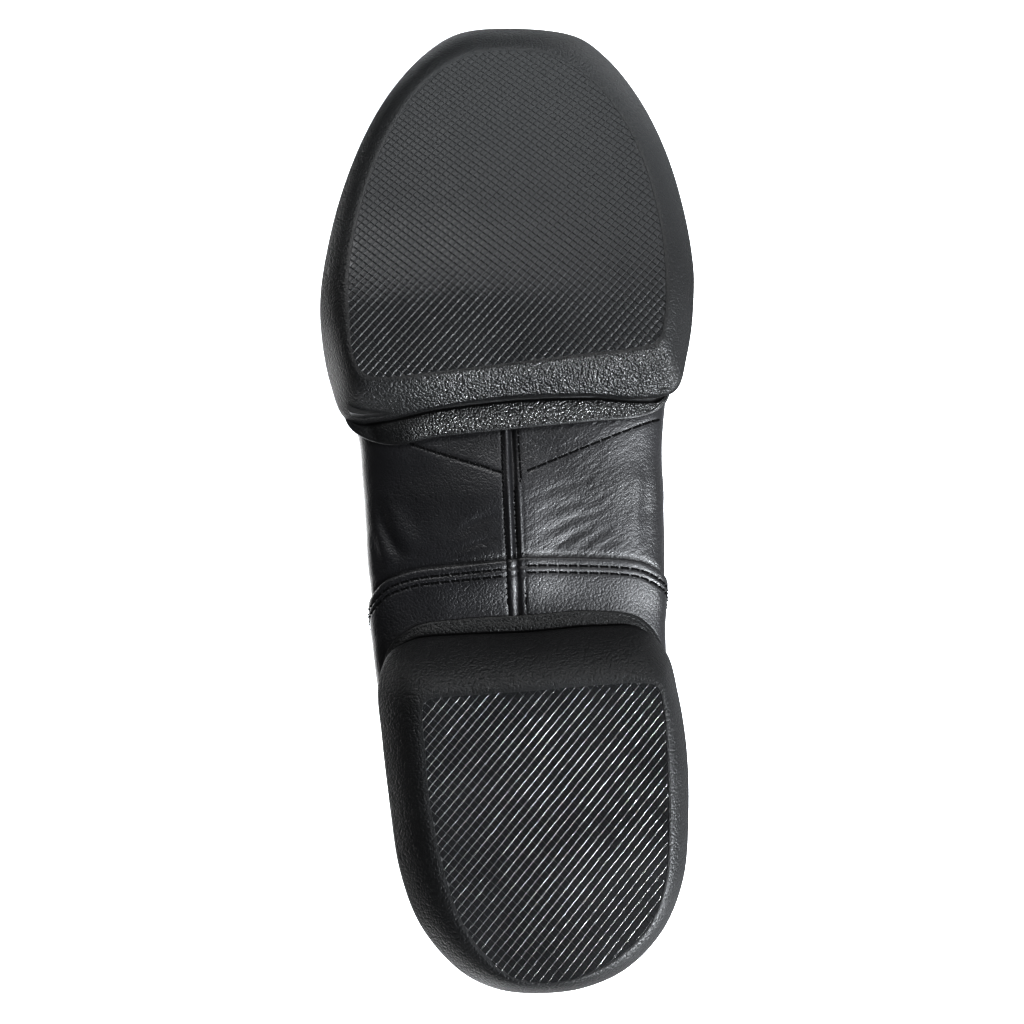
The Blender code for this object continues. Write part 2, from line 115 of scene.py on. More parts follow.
# Where the thin layers show past the pads: row of the pad's table, and the layer's own edge there.
FORE_LAYER_SHOWS = {
    9: (41.6, 26.6),
    10: (32.0, 21.3),
    11: (17.6, 22.3),
    12: (-1.0, 23.5),
    13: (-20.0, 24.8),
    14: (-35.2, 26.5),
    15: (-41.4, 30.6),
}
HEEL_LAYER_SHOWS = {
    0: (-3.0, -23.7),
    1: (14.5, -24.2),
    2: (26.0, -25.6),
    3: (32.6, -30.6),
    4: (34.5, -39.6),
    19: (-37.4, -33.0),
    20: (-32.0, -25.4),
    21: (-20.0, -23.2),
}

SECTION_COLUMNS = ("y", "outer", "inner", "wide_z", "bottom_z", "top_z", "low_pow", "high_pow")
SECTION_ROWS = (
    (-112.0, 29.5, -34.0, 28.0, 16.1, 86.0, 4.2, 1.9),
    (-80.0, 30.0, -34.8, 26.5, 16.1, 86.0, 4.2, 1.9),
    (-56.0, 33.4, -36.8, 24.5, 16.1, 86.0, 4.0, 1.9),
    (-36.0, 36.1, -37.9, 23.0, 16.0, 86.0, 3.4, 1.9),
    (-22.0, 37.0, -38.2, 22.5, 15.2, 85.5, 2.9, 1.9),
    (-4.0, 37.9, -39.2, 22.5, 12.9, 83.0, 2.6, 1.9),
    (12.0, 38.7, -39.8, 22.0, 10.8, 78.0, 2.8, 2.0),
    (26.0, 40.3, -41.0, 21.5, 9.3, 71.0, 3.6, 2.1),
    (42.0, 43.3, -43.4, 21.5, 9.3, 63.0, 4.6, 2.1),
    (56.0, 44.8, -46.0, 21.5, 9.3, 57.0, 5.0, 2.2),
    (76.0, 42.6, -45.6, 22.0, 9.3, 50.0, 5.0, 2.3),
    (96.0, 37.6, -42.8, 22.5, 9.3, 44.5, 5.0, 2.3),
    (112.0, 32.2, -38.2, 23.0, 9.3, 41.0, 4.6, 2.2),
    (142.0, 30.0, -36.5, 25.5, 9.3, 38.0, 4.0, 2.1),
)
COLLAR_COLUMNS = ("y", "z")
COLLAR_ROWS = ((-112.0, 70.0), (-96.0, 66.5), (-72.0, 58.5), (-46.0, 55.0), (-20.0, 57.5), (4.0, 64.5), (THROAT_Y, 71.0))

LYING = Matrix(
    (
        (-0.0646203, 0.9978461, 0.0112841, -0.0162349),
        (0.1720232, 0.0000003, 0.9850929, -0.0320774),
        (0.9829711, 0.0655981, -0.1716527, 0.0457659),
        (0.0, 0.0, 0.0, 1.0),
    )
)

# ---------------------------------------------------------------- sizes and tables of the looks, mm
LAYER_SHEET = 1.3  # thickness of the thin layers
TREAD_PITCH = 1.64
TREAD_TURN = 48.15  # degrees from the inward direction to the first set of grooves
TREAD_DEPTH = 0.15
PAD_FOOT = np.array([0.76, 0.80])  # half a pad's foot along the first set of grooves and across it
# rings of a tread pad from foot to top: share of the half width on the steep sides and on the bevelled one, and depth
FORE_PAD = ((1.0, 1.0, 0.15), (0.90, 0.8375, 0.07), (0.83, 0.7125, 0.022), (0.78, 0.6125, 0.0))
HEEL_PAD = ((1.0, 1.0, 0.15), (0.962, 0.87, 0.073), (0.94, 0.68, 0.0))

# The seam along the middle of the arch: its line, and the two stitch rows beside it.
SEAM_FRONT, SEAM_BACK = (-0.4, 34.0), (-0.9, -30.0)
SEAM_ROWS = (-2.45, 1.85)
# The lapped front edge of the counter: (distance around the section from the middle of the bottom, y), inner side first.
COUNTER_EDGE = (
    (-100.0, -52.0),
    (-75.0, -42.0),
    (-58.0, -31.5),
    (-48.0, -23.5),
    (-41.5, -17.0),
    (-37.0, -13.2),
    (-30.5, -10.6),
    (-17.3, -9.6),
    (-2.0, -9.1),
    (4.0, -9.8),
    (14.5, -10.5),
    (24.5, -11.1),
    (33.0, -13.0),
    (38.5, -17.4),
    (44.0, -23.0),
    (58.0, -33.0),
    (75.0, -42.0),
    (100.0, -52.0),
)
COUNTER_ROWS = (2.2, 3.9)  # stitch rows behind that edge
STITCH_PITCH = 2.6
# Stitched lines on the arch, (x, y).
V_INNER = ((-3.9, 12.6), (-12.0, 15.8), (-20.9, 19.2), (-31.0, 23.1), (-39.6, 26.5))
V_OUTER = ((2.2, 12.4), (7.5, 14.5), (13.1, 16.5), (22.1, 19.8), (27.0, 21.8))
# Creases of the arch leather: points (x, y), depth, half width. A negative depth is a ridge.
CREASES = (
    (((-4.0, 0.6), (-9.5, 2.6), (-15.4, 4.1), (-23.2, 5.0)), 0.08, 1.1),
    (((-5.5, -3.8), (-9.2, -2.6), (-17.1, 0.7), (-24.5, 2.4)), 0.11, 1.0),
    (((-9.0, -7.6), (-12.5, -5.6), (-15.5, -3.9), (-21.0, -1.6)), 0.12, 0.95),
    (((-15.5, -8.2), (-19.0, -5.9), (-21.7, -4.2), (-25.5, -2.4)), 0.09, 0.95),
    (((-4.6, 5.2), (-10.0, 7.6), (-16.0, 9.4), (-22.0, 10.6)), 0.09, 1.0),
    (((-21.0, -7.8), (-24.5, -6.0), (-28.0, -4.9)), 0.08, 1.0),
    (((-6.0, 16.0), (-14.0, 18.6), (-24.0, 22.4)), 0.08, 1.1),
    (((35.2, 9.0), (33.6, 2.0), (31.4, -3.5), (28.4, -8.0)), 0.34, 1.5),
    (((31.0, 6.0), (28.6, 0.0), (24.8, -6.0)), -0.2, 2.2),
    (((36.2, 0.0), (35.6, -6.0), (34.4, -11.0)), 0.25, 1.2),
    (((3.4, 2.0), (9.0, 0.6), (14.0, -2.6)), 0.16, 1.2),
    (((4.0, -4.0), (9.0, -5.2), (15.0, -7.0)), 0.15, 1.0),
    (((-35.5, 14.0), (-34.6, 4.0), (-33.4, -6.0)), 0.3, 1.6),
)
# Creases across the vamp and the sides, (distance around the section, y), depth, half width.
FLEX_CREASES = (
    (((58.0, 50.0), (72.0, 53.0), (88.0, 56.0)), 0.45, 1.8),
    (((60.0, 58.5), (76.0, 61.5), (92.0, 63.0)), 0.35, 1.6),
    (((-58.0, 50.0), (-72.0, 53.0), (-88.0, 56.0)), 0.45, 1.8),
    (((-60.0, 59.0), (-76.0, 62.0), (-92.0, 63.0)), 0.35, 1.6),
    (((48.0, 6.0), (58.0, -6.0), (70.0, -16.0)), 0.5, 2.6),
    (((47.0, 18.0), (57.0, 8.0), (68.0, 0.0)), 0.4, 2.4),
    (((-48.0, 6.0), (-58.0, -6.0), (-70.0, -16.0)), 0.5, 2.6),
    (((-47.0, 18.0), (-57.0, 8.0), (-68.0, 0.0)), 0.4, 2.4),
)


# ---------------------------------------------------------------- curves
def column(columns, rows, name):
    return np.array([row[columns.index(name)] for row in rows], float)


def smooth(x, xs, ys):
    """A curve through the rows with no overshoot (monotone cubic)."""
    x = np.clip(np.asarray(x, float), xs[0], xs[-1])
    h = np.diff(xs)
    d = np.diff(ys) / h
    m = np.zeros_like(ys)
    m[0], m[-1] = d[0], d[-1]
    for i in range(1, len(xs) - 1):
        if d[i - 1] * d[i] > 0:
            w1, w2 = 2 * h[i] + h[i - 1], h[i] + 2 * h[i - 1]
            m[i] = (w1 + w2) / (w1 / d[i - 1] + w2 / d[i])
    i = np.clip(np.searchsorted(xs, x, side="right") - 1, 0, len(h) - 1)
    t = (x - xs[i]) / h[i]
    return (
        (1 + 2 * t) * (1 - t) ** 2 * ys[i]
        + t * (1 - t) ** 2 * h[i] * m[i]
        + t * t * (3 - 2 * t) * ys[i + 1]
        + t * t * (t - 1) * h[i] * m[i + 1]
    )


def closed_curve(rows, count):
    """A closed curve through the rows, with all their columns, at even steps along its first two."""
    rows = np.array(rows, float)
    n = len(rows)
    fine = []
    for i in range(n):
        p0, p1, p2, p3 = rows[(i - 1) % n], rows[i], rows[(i + 1) % n], rows[(i + 2) % n]
        k = [math.sqrt(max(np.hypot(*(b - a)[:2]), 1e-6)) for a, b in ((p0, p1), (p1, p2), (p2, p3))]
        m1 = ((p1 - p0) / k[0] - (p2 - p0) / (k[0] + k[1]) + (p2 - p1) / k[1]) * k[1]
        m2 = ((p2 - p1) / k[1] - (p3 - p1) / (k[1] + k[2]) + (p3 - p2) / k[2]) * k[1]
        for t in np.arange(16) / 16:
            fine.append(
                (2 * t**3 - 3 * t**2 + 1) * p1 + (t**3 - 2 * t**2 + t) * m1 + (3 * t**2 - 2 * t**3) * p2 + (t**3 - t**2) * m2
            )
    fine = np.array(fine + [fine[0]])
    s = np.concatenate([[0], np.cumsum(np.hypot(*np.diff(fine[:, :2], axis=0).T))])
    at = np.arange(count) / count * s[-1]
    return np.stack([np.interp(at, s, fine[:, k]) for k in range(fine.shape[1])], axis=1)


def through(points, count):
    """An open curve through the points at even steps."""
    p = np.array(points, float)
    s = np.concatenate([[0], np.cumsum(np.linalg.norm(np.diff(p, axis=0), axis=1))])
    at = np.linspace(0, s[-1], 200)
    fine = np.stack([smooth(at, s, p[:, k]) for k in range(p.shape[1])], axis=1)
    s = np.concatenate([[0], np.cumsum(np.linalg.norm(np.diff(fine, axis=0), axis=1))])
    at = np.linspace(0, s[-1], count)
    return np.stack([np.interp(at, s, fine[:, k]) for k in range(p.shape[1])], axis=1)


def spring(y):
    t = np.clip((np.asarray(y, float) - BALL_FLAT_END) / (TOE_SPRING_Y - BALL_FLAT_END), 0, None)
    return TOE_SPRING * t**SPRING_POWER


def step(a, b, x):
    t = np.clip((np.asarray(x, float) - a) / (b - a), 0, 1)
    return t * t * (3 - 2 * t)


def bell(d, w):
    return np.exp(-((d / w) ** 2))


def along(x, y, points):
    """Signed distance from a curve through the points, and how far along it the nearest spot is, 0 to 1."""
    c = through(points, 40)
    best, side, at = np.full(x.shape, 1e9), np.zeros(x.shape), np.zeros(x.shape)
    for k in range(len(c) - 1):
        a, d = c[k], c[k + 1] - c[k]
        t = np.clip(((x - a[0]) * d[0] + (y - a[1]) * d[1]) / (d @ d), 0, 1)
        dx, dy = x - a[0] - t * d[0], y - a[1] - t * d[1]
        dist = np.hypot(dx, dy)
        near = dist < best
        best = np.where(near, dist, best)
        side = np.where(near, np.sign(d[0] * dy - d[1] * dx), side)
        at = np.where(near, (k + t) / (len(c) - 1), at)
    return best * side, at


def wave(x, y, size, seed):
    """Slow irregular waves, about -1 to 1, with the given size."""
    rng = np.random.default_rng(seed)
    total = np.zeros(np.broadcast(x, y).shape)
    for _ in range(14):
        turn, phase = rng.uniform(0, math.tau), rng.uniform(0, math.tau)
        k = math.tau / (size * rng.uniform(0.7, 1.6))
        total += np.sin((x * math.cos(turn) + y * math.sin(turn)) * k + phase)
    return total / 4.0


# ---------------------------------------------------------------- the upper's own function
def section(y):
    """Sizes of the upper's section at y."""
    ys = column(SECTION_COLUMNS, SECTION_ROWS, "y")
    s = {name: smooth(y, ys, column(SECTION_COLUMNS, SECTION_ROWS, name)) for name in SECTION_COLUMNS[1:]}
    lift = spring(y)
    s["mid"] = (s["outer"] + s["inner"]) / 2
    half_out, half_in = s["outer"] - s["mid"], s["mid"] - s["inner"]
    toe = np.clip((y - TOE_CAP_Y) / (TOE_Y - TOE_CAP_Y), 0, 1)
    heel = np.clip((HEEL_CAP_Y - y) / (HEEL_CAP_Y - HEEL_Y), 0, 1)
    shrink = (1 - toe**TOE_BLUNT) ** (1 / TOE_BLUNT) * (1 - heel**HEEL_BLUNT) ** (1 / HEEL_BLUNT)
    s["half_out"], s["half_in"] = half_out * shrink, half_in * shrink
    near = 1 - np.sqrt(np.clip(1 - toe**2.2, 0, 1))
    back = 1 - np.sqrt(np.clip(1 - heel**2.5, 0, 1))
    s["bottom_z"] = s["bottom_z"] + lift + TOE_TURN_UP * near + HEEL_TURN_UP * back
    s["wide_z"] = s["wide_z"] + 0.35 * lift
    s["top_z"] = s["top_z"] - TOE_FALL * near
    s["bottom_z"] = np.minimum(s["bottom_z"], s["wide_z"] - 1.0)
    s["lean"] = heel**1.5
    s["end"] = np.maximum(near, back)
    s["collar_z"] = smooth(y, column(COLLAR_COLUMNS, COLLAR_ROWS, "y"), column(COLLAR_COLUMNS, COLLAR_ROWS, "z"))
    return s


def bottom_of_upper(x, y):
    """Level of the upper's underside at (x, y), and how much of the half width x is."""
    s = section(y)
    half = np.where(x > s["mid"], s["half_out"], s["half_in"])
    u = np.abs(x - s["mid"]) / np.maximum(half, 1e-6)
    n = s["low_pow"]
    inside = np.clip(1 - np.minimum(u, 1) ** n, 0, 1) ** (1 / n)
    return s["wide_z"] - (s["wide_z"] - s["bottom_z"]) * inside, u


def side_curve(y, sign):
    """One side of the upper's section at y, from the middle of the bottom up to the collar or the top line."""
    s = {k: float(v) for k, v in section(y).items()}
    n, m = s["low_pow"], s["high_pow"]
    c = min(max((s["collar_z"] - s["wide_z"]) / (s["top_z"] - s["wide_z"]), 0), 1) if y < THROAT_Y else 1.0
    a_end = math.asin(c ** (m / 2))
    flat = np.linspace(0, 0.8, 40)
    turn = np.clip(np.cos(np.linspace(math.acos(0.8 ** (n / 2)), 0, 50)[1:]), 0, 1) ** (2 / n)
    low = np.concatenate([flat, turn])
    a = np.linspace(0, a_end, 80)[1:]
    high = np.clip(np.cos(a), 0, 1) ** (2 / m)
    if a_end >= math.pi / 2 - 1e-9:
        high[-1] = 0.0
    across = np.concatenate([low, high])
    z = np.concatenate(
        [
            s["wide_z"] - (s["wide_z"] - s["bottom_z"]) * np.clip(1 - low**n, 0, 1) ** (1 / n),
            s["wide_z"] + (s["top_z"] - s["wide_z"]) * np.sin(a) ** (2 / m),
        ]
    )
    x = s["mid"] + sign * (s["half_out"] if sign > 0 else s["half_in"]) * across
    yy = y + HEEL_LEAN * s["lean"] * np.clip((z - 26) / 44, 0, 1.2) ** 1.6
    return np.stack([x, yy, z], axis=1)


# ---------------------------------------------------------------- meshes
def to_row(points):
    """From the standing shoe in mm to the lying shoe in metres."""
    m = np.array(LYING)
    return np.asarray(points, float).reshape(-1, 3) * 0.001 @ m[:3, :3].T + m[:3, 3]


def new_piece(name, points, faces, mat, sharp=None):
    """An object from points (mm, standing) and faces: arrays of three or four corners."""
    blocks = [np.asarray(f, np.int32) for f in faces if len(f)]
    used = np.unique(np.concatenate([b.ravel() for b in blocks]))
    remap = np.full(len(points), -1, np.int32)
    remap[used] = np.arange(len(used))
    blocks = [remap[b] for b in blocks]
    mesh = bpy.data.meshes.new(name)
    mesh.vertices.add(len(used))
    mesh.vertices.foreach_set("co", to_row(np.asarray(points)[used]).ravel().astype(np.float32))
    loops = np.concatenate([b.ravel() for b in blocks])
    mesh.loops.add(len(loops))
    mesh.loops.foreach_set("vertex_index", loops)
    starts, at = [], 0
    for b in blocks:
        starts.append(at + np.arange(len(b)) * b.shape[1])
        at += b.size
    starts = np.concatenate(starts).astype(np.int32)
    mesh.polygons.add(len(starts))
    mesh.polygons.foreach_set("loop_start", starts)
    mesh.update(calc_edges=True)
    mesh.validate()
    mesh.materials.append(mat)
    mesh.shade_smooth()
    if sharp:
        mesh.set_sharp_from_angle(angle=math.radians(sharp))
    obj = bpy.data.objects.new(name, mesh)
    bpy.context.scene.collection.objects.link(obj)
    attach(obj, "root")
    return obj, used


def set_attribute(obj, used, name, values):
    a = obj.data.attributes.new(name, "FLOAT", "POINT")
    a.data.foreach_set("value", np.asarray(values, np.float32)[used])


def grid_faces(ids, keep=None):
    q = np.stack([ids[:-1, :-1], ids[:-1, 1:], ids[1:, 1:], ids[1:, :-1]], axis=-1)
    q = q[keep] if keep is not None else q.reshape(-1, 4)
    return q.reshape(-1, 4)


def grid_normals(p):
    """Outward normals of a grid of stations by columns."""
    n = np.cross(np.gradient(p, axis=1), np.gradient(p, axis=0))
    n /= np.maximum(np.linalg.norm(n, axis=2, keepdims=True), 1e-9)
    if n[len(n) // 2, n.shape[1] // 2, 2] > 0:
        n = -n
    return n


def ladder(ids, ys):
    """Triangles across a closed loop of corners, from one end in y to the other."""
    n = len(ids)
    top, low = int(np.argmax(ys)), int(np.argmin(ys))
    left = [(top + i) % n for i in range((low - top) % n + 1)]
    right = [(top - i) % n for i in range((top - low) % n + 1)]
    i = j = 0
    tris = []
    while i < len(left) - 1 or j < len(right) - 1:
        if j == len(right) - 1 or (i < len(left) - 1 and ys[left[i + 1]] >= ys[right[j + 1]]):
            tri = (ids[left[i]], ids[left[i + 1]], ids[right[j]])
            i += 1
        else:
            tri = (ids[left[i]], ids[right[j + 1]], ids[right[j]])
            j += 1
        if len(set(tri)) == 3:
            tris.append(tri)
    return np.array(tris, np.int32)


def stack_faces(rings, upward):
    """Faces of a solid through closed rings, filled at the first and the last. upward: rings run anticlockwise seen from +z."""
    k, n = len(rings), len(rings[0])
    ids = np.arange(k * n).reshape(k, n)
    nxt = np.roll(ids, -1, axis=1)
    quads = np.stack([ids[:-1], nxt[:-1], nxt[1:], ids[1:]], axis=-1).reshape(-1, 4)
    if not upward:
        quads = quads[:, ::-1]
    points = np.concatenate(rings)

    def fill(row, up):
        tris = ladder([int(v) for v in ids[row]], rings[row][:, 1])
        a, b, c = (points[tris[:, i]] for i in range(3))
        z = np.cross(b - a, c - a)[:, 2]
        flip = (z > 0) != up
        tris[flip] = tris[flip][:, ::-1]
        return tris

    return points, [quads, np.concatenate([fill(0, False), fill(k - 1, True)])]


# ---------------------------------------------------------------- materials
def shader(name):
    m = bpy.data.materials.new(name)
    m.use_nodes = True
    return m, m.node_tree, m.node_tree.nodes["Principled BSDF"]


def node(tree, kind, inputs=None, **settings):
    n = tree.nodes.new(kind)
    for k, v in settings.items():
        setattr(n, k, v)
    for k, v in (inputs or {}).items():
        if isinstance(v, bpy.types.NodeSocket):
            tree.links.new(v, n.inputs[k])
        else:
            n.inputs[k].default_value = v
    return n


def math_node(tree, op, a, b=0.0, clamp=False):
    return node(tree, "ShaderNodeMath", {0: a, 1: b}, operation=op, use_clamp=clamp).outputs[0]


def spots(tree, where, scale, turn=(0, 0, 0), stretch=(1, 1, 1)):
    """Pebbles: rounded cells with narrow valleys between them, 0 in the valleys."""
    m = node(tree, "ShaderNodeMapping", {"Vector": where, "Rotation": turn, "Scale": stretch})
    bent = node(tree, "ShaderNodeTexNoise", {"Vector": m.outputs[0], "Scale": scale * 0.8, "Detail": 1.0})
    shift = node(tree, "ShaderNodeVectorMath", {0: bent.outputs["Color"], 1: (0.5, 0.5, 0.5)}, operation="SUBTRACT")
    shift = node(tree, "ShaderNodeVectorMath", {0: shift.outputs[0], "Scale": 0.7 / scale}, operation="SCALE")
    place = node(tree, "ShaderNodeVectorMath", {0: m.outputs[0], 1: shift.outputs[0]}, operation="ADD")
    far = node(tree, "ShaderNodeTexVoronoi", {"Vector": place.outputs[0], "Scale": scale}, feature="F1").outputs["Distance"]
    return math_node(tree, "SUBTRACT", 1.0, math_node(tree, "MULTIPLY", far, far), clamp=True)


def noise(tree, where, scale, detail=2.0, rough=0.5, turn=(0, 0, 0), stretch=(1, 1, 1)):
    m = node(tree, "ShaderNodeMapping", {"Vector": where, "Rotation": turn, "Scale": stretch})
    return node(tree, "ShaderNodeTexNoise", {"Vector": m.outputs[0], "Scale": scale, "Detail": detail, "Roughness": rough}).outputs["Fac"]


def ramp(tree, value, low, high, out_low, out_high):
    return node(
        tree, "ShaderNodeMapRange", {"Value": value, "From Min": low, "From Max": high, "To Min": out_low, "To Max": out_high}
    ).outputs[0]


def blend_colour(tree, value, a, b):
    n = node(tree, "ShaderNodeMix", {"Factor": value}, data_type="RGBA")
    for slot, colour in ((6, a), (7, b)):
        if isinstance(colour, tuple):
            n.inputs[slot].default_value = (*colour, 1)
        else:
            tree.links.new(colour, n.inputs[slot])
    return n.outputs[2]


def leather_material(name, dark, light, rough, grain, pores, streak, coat=0.7):
    """Smooth leather: fine pores, a faint slow wave, and drawn streaks as strong as the mesh says."""
    m, t, p = shader(name)
    where = node(t, "ShaderNodeTexCoord").outputs["Object"]
    cells = spots(t, where, pores)
    fine = noise(t, where, 3000.0, 2.0, 0.6)
    soft = noise(t, where, 330.0, 3.0, 0.55)
    slow = noise(t, where, 45.0, 3.0)
    high = math_node(t, "ADD", math_node(t, "MULTIPLY", cells, 0.26), math_node(t, "MULTIPLY", fine, 0.12))
    high = math_node(t, "ADD", high, math_node(t, "MULTIPLY", soft, 0.22))
    if streak:
        drawn = node(t, "ShaderNodeMapping", {"Vector": where, "Rotation": (0, math.radians(-34.0), 0), "Scale": (1, 1, 4.0)}, vector_type="TEXTURE")
        lines = node(t, "ShaderNodeTexNoise", {"Vector": drawn.outputs[0], "Scale": 850.0, "Detail": 2.0, "Roughness": 0.6}).outputs["Fac"]
        amount = node(t, "ShaderNodeAttribute", attribute_name="streak").outputs["Fac"]
        high = math_node(t, "ADD", high, math_node(t, "MULTIPLY", math_node(t, "MULTIPLY", lines, amount), streak))
    b = node(t, "ShaderNodeBump", {"Strength": grain, "Distance": 0.00034, "Height": high})
    t.links.new(b.outputs[0], p.inputs["Normal"])
    t.links.new(b.outputs[0], p.inputs["Coat Normal"])
    t.links.new(blend_colour(t, ramp(t, slow, 0.3, 0.7, 0, 1), dark, light), p.inputs["Base Color"])
    t.links.new(ramp(t, math_node(t, "ADD", slow, cells), 0.3, 1.2, rough - 0.05, rough + 0.09), p.inputs["Roughness"])
    p.inputs["Coat Weight"].default_value = coat
    p.inputs["Coat Roughness"].default_value = 0.32
    p.inputs["Specular IOR Level"].default_value = 0.5
    return m


def rubber_material(name, dark, light, rough, fine_bump, pebble, gloss=0.5, dull=0.0):
    """Moulded sole: a fine grain everywhere, pebbles as strong as the mesh says, and towards the toe a painted sheen
    (the colour blended to a lighter grey where the sprung toe catches the light), with the rubber dulled by use there.
    """
    m, t, p = shader(name)
    where = node(t, "ShaderNodeTexCoord").outputs["Object"]
    cells = spots(t, where, 1700.0)
    fine = noise(t, where, 2400.0, 2.0, 0.6)
    slow = noise(t, where, 38.0, 4.0, 0.6)
    strength = node(t, "ShaderNodeAttribute", attribute_name="pebble").outputs["Fac"] if pebble else None
    high = math_node(t, "MULTIPLY", fine, fine_bump)
    if pebble:
        t.links.new(ramp(t, strength, 0.4, 1.0, 0.0, 1.0), p.inputs["Coat Weight"])
        p.inputs["Coat Roughness"].default_value = 0.3
        high = math_node(t, "ADD", high, math_node(t, "MULTIPLY", math_node(t, "MULTIPLY", cells, strength), pebble))
    b = node(t, "ShaderNodeBump", {"Strength": 0.8, "Distance": 0.0003, "Height": high})
    t.links.new(b.outputs[0], p.inputs["Normal"])
    t.links.new(b.outputs[0], p.inputs["Coat Normal"])
    x = node(t, "ShaderNodeSeparateXYZ", {0: where}).outputs["X"]
    # painted sheen: towards the toe the base colour is blended to a lighter grey, standing in for the light the sprung
    # toe catches
    toe_painted_sheen = ramp(t, x, 0.045, 0.115, 0.0, 1.0)
    colour = blend_colour(t, ramp(t, slow, 0.3, 0.7, 0, 1), dark, light)
    t.links.new(blend_colour(t, toe_painted_sheen, colour, (0.033, 0.035, 0.0365)), p.inputs["Base Color"])
    shine = ramp(t, math_node(t, "ADD", slow, fine), 0.7, 1.3, rough - 0.06, rough + 0.08)
    t.links.new(math_node(t, "ADD", shine, ramp(t, x, 0.03, 0.068, 0.0, dull)), p.inputs["Roughness"])
    p.inputs["Specular IOR Level"].default_value = gloss
    return m


def cloth_material(name, dark, light, pitch):
    m, t, p = shader(name)
    where = node(t, "ShaderNodeTexCoord").outputs["Object"]
    a = node(t, "ShaderNodeTexWave", {"Vector": where, "Scale": 0.314 / pitch, "Distortion": 0.6}, bands_direction="X").outputs["Fac"]
    b = node(t, "ShaderNodeTexWave", {"Vector": where, "Scale": 0.314 / pitch, "Distortion": 0.6}, bands_direction="Z").outputs["Fac"]
    slow = noise(t, where, 60.0, 3.0)
    high = math_node(t, "MULTIPLY", a, b)
    bump = node(t, "ShaderNodeBump", {"Strength": 0.6, "Distance": 0.0003, "Height": high})
    t.links.new(bump.outputs[0], p.inputs["Normal"])
    t.links.new(blend_colour(t, math_node(t, "MULTIPLY", high, ramp(t, slow, 0.3, 0.7, 0.6, 1.0)), dark, light), p.inputs["Base Color"])
    t.links.new(ramp(t, slow, 0.3, 0.7, 0.82, 0.95), p.inputs["Roughness"])
    p.inputs["Sheen Weight"].default_value = 0.15
    return m


def thread_material(name, dark, light):
    m, t, p = shader(name)
    where = node(t, "ShaderNodeTexCoord").outputs["Object"]
    ply = node(t, "ShaderNodeTexWave", {"Vector": where, "Scale": 900.0, "Distortion": 1.0}, bands_direction="DIAGONAL").outputs["Fac"]
    bump = node(t, "ShaderNodeBump", {"Strength": 0.5, "Distance": 0.0001, "Height": ply})
    t.links.new(bump.outputs[0], p.inputs["Normal"])
    t.links.new(blend_colour(t, ply, dark, light), p.inputs["Base Color"])
    t.links.new(ramp(t, ply, 0, 1, 0.75, 0.9), p.inputs["Roughness"])
    p.inputs["Specular IOR Level"].default_value = 0.12
    return m


MATS = {
    "arch": leather_material("leather_arch", (0.007, 0.007, 0.008), (0.011, 0.011, 0.013), 0.36, 0.7, 1900.0, 0.75),
    "counter": leather_material("leather_counter", (0.007, 0.007, 0.008), (0.011, 0.011, 0.013), 0.37, 0.9, 1700.0, 0.0),
    "binding": leather_material("leather_binding", (0.008, 0.008, 0.009), (0.012, 0.012, 0.014), 0.42, 0.6, 1500.0, 0.0),
    "sole": rubber_material("rubber_sole", (0.009, 0.0093, 0.0098), (0.014, 0.0143, 0.015), 0.40, 0.45, 2.0),
    "layer": rubber_material("rubber_layer", (0.008, 0.0082, 0.0086), (0.012, 0.0122, 0.0127), 0.38, 0.4, 2.0),
    "tread": rubber_material("rubber_tread", (0.016, 0.0165, 0.0175), (0.022, 0.0226, 0.0238), 0.17, 0.08, 0.0, 0.55, 0.33),
    "lining": cloth_material("lining_fabric", (0.032, 0.032, 0.034), (0.075, 0.075, 0.078), 0.0009),
    "sock": cloth_material("sock_fabric", (0.026, 0.026, 0.028), (0.07, 0.07, 0.072), 0.0012),
    "thread": thread_material("thread_black", (0.002, 0.002, 0.0023), (0.006, 0.006, 0.0066)),
}

# ---------------------------------------------------------------- the upper's skin
LOW_COLS, HIGH_COLS, LOW_REACH = 98, 44, 42.0
MID = LOW_COLS + HIGH_COLS


def skin_stations():
    th = np.linspace(0, math.pi / 2, 34)
    heel = HEEL_CAP_Y + (HEEL_Y - HEEL_CAP_Y) * np.sin(th[::-1]) ** (2 / HEEL_BLUNT)
    toe = TOE_CAP_Y + (TOE_Y - TOE_CAP_Y) * np.sin(th) ** (2 / TOE_BLUNT)
    rear = np.linspace(HEEL_CAP_Y, -32.0, 38)[1:-1]
    arch = np.linspace(-32.0, 33.0, 150)
    throat = THROAT_Y - np.array([0.7, 0.25, 0.06, 0.0])
    front = np.linspace(33.0, TOE_CAP_Y, 62)[1:-1]
    return np.unique(np.round(np.concatenate([heel, rear, arch, throat, front, toe]), 5))


def skin_table(ys):
    n = 2 * MID + 1
    p, around = np.empty((len(ys), n, 3)), np.empty((len(ys), n))
    for i, y in enumerate(ys):
        for sign in (1, -1):
            c = side_curve(y, sign)
            s = np.concatenate([[0], np.cumsum(np.linalg.norm(np.diff(c, axis=0), axis=1))])
            reach = min(LOW_REACH, 0.47 * s[-1])
            u = np.concatenate([np.linspace(0, reach, LOW_COLS + 1), reach + (s[-1] - reach) * np.linspace(0, 1, HIGH_COLS + 1)[1:]])
            cols = MID - np.arange(MID + 1) * sign
            p[i, cols] = np.stack([np.interp(u, s, c[:, k]) for k in range(3)], axis=1)
            around[i, cols] = sign * u
    return p, around


def seam_x(y):
    t = (y - SEAM_BACK[1]) / (SEAM_FRONT[1] - SEAM_BACK[1])
    return SEAM_BACK[0] + (SEAM_FRONT[0] - SEAM_BACK[0]) * t


def counter_edge(u):
    u0, y0 = np.array(COUNTER_EDGE).T
    return smooth(u, u0, y0)


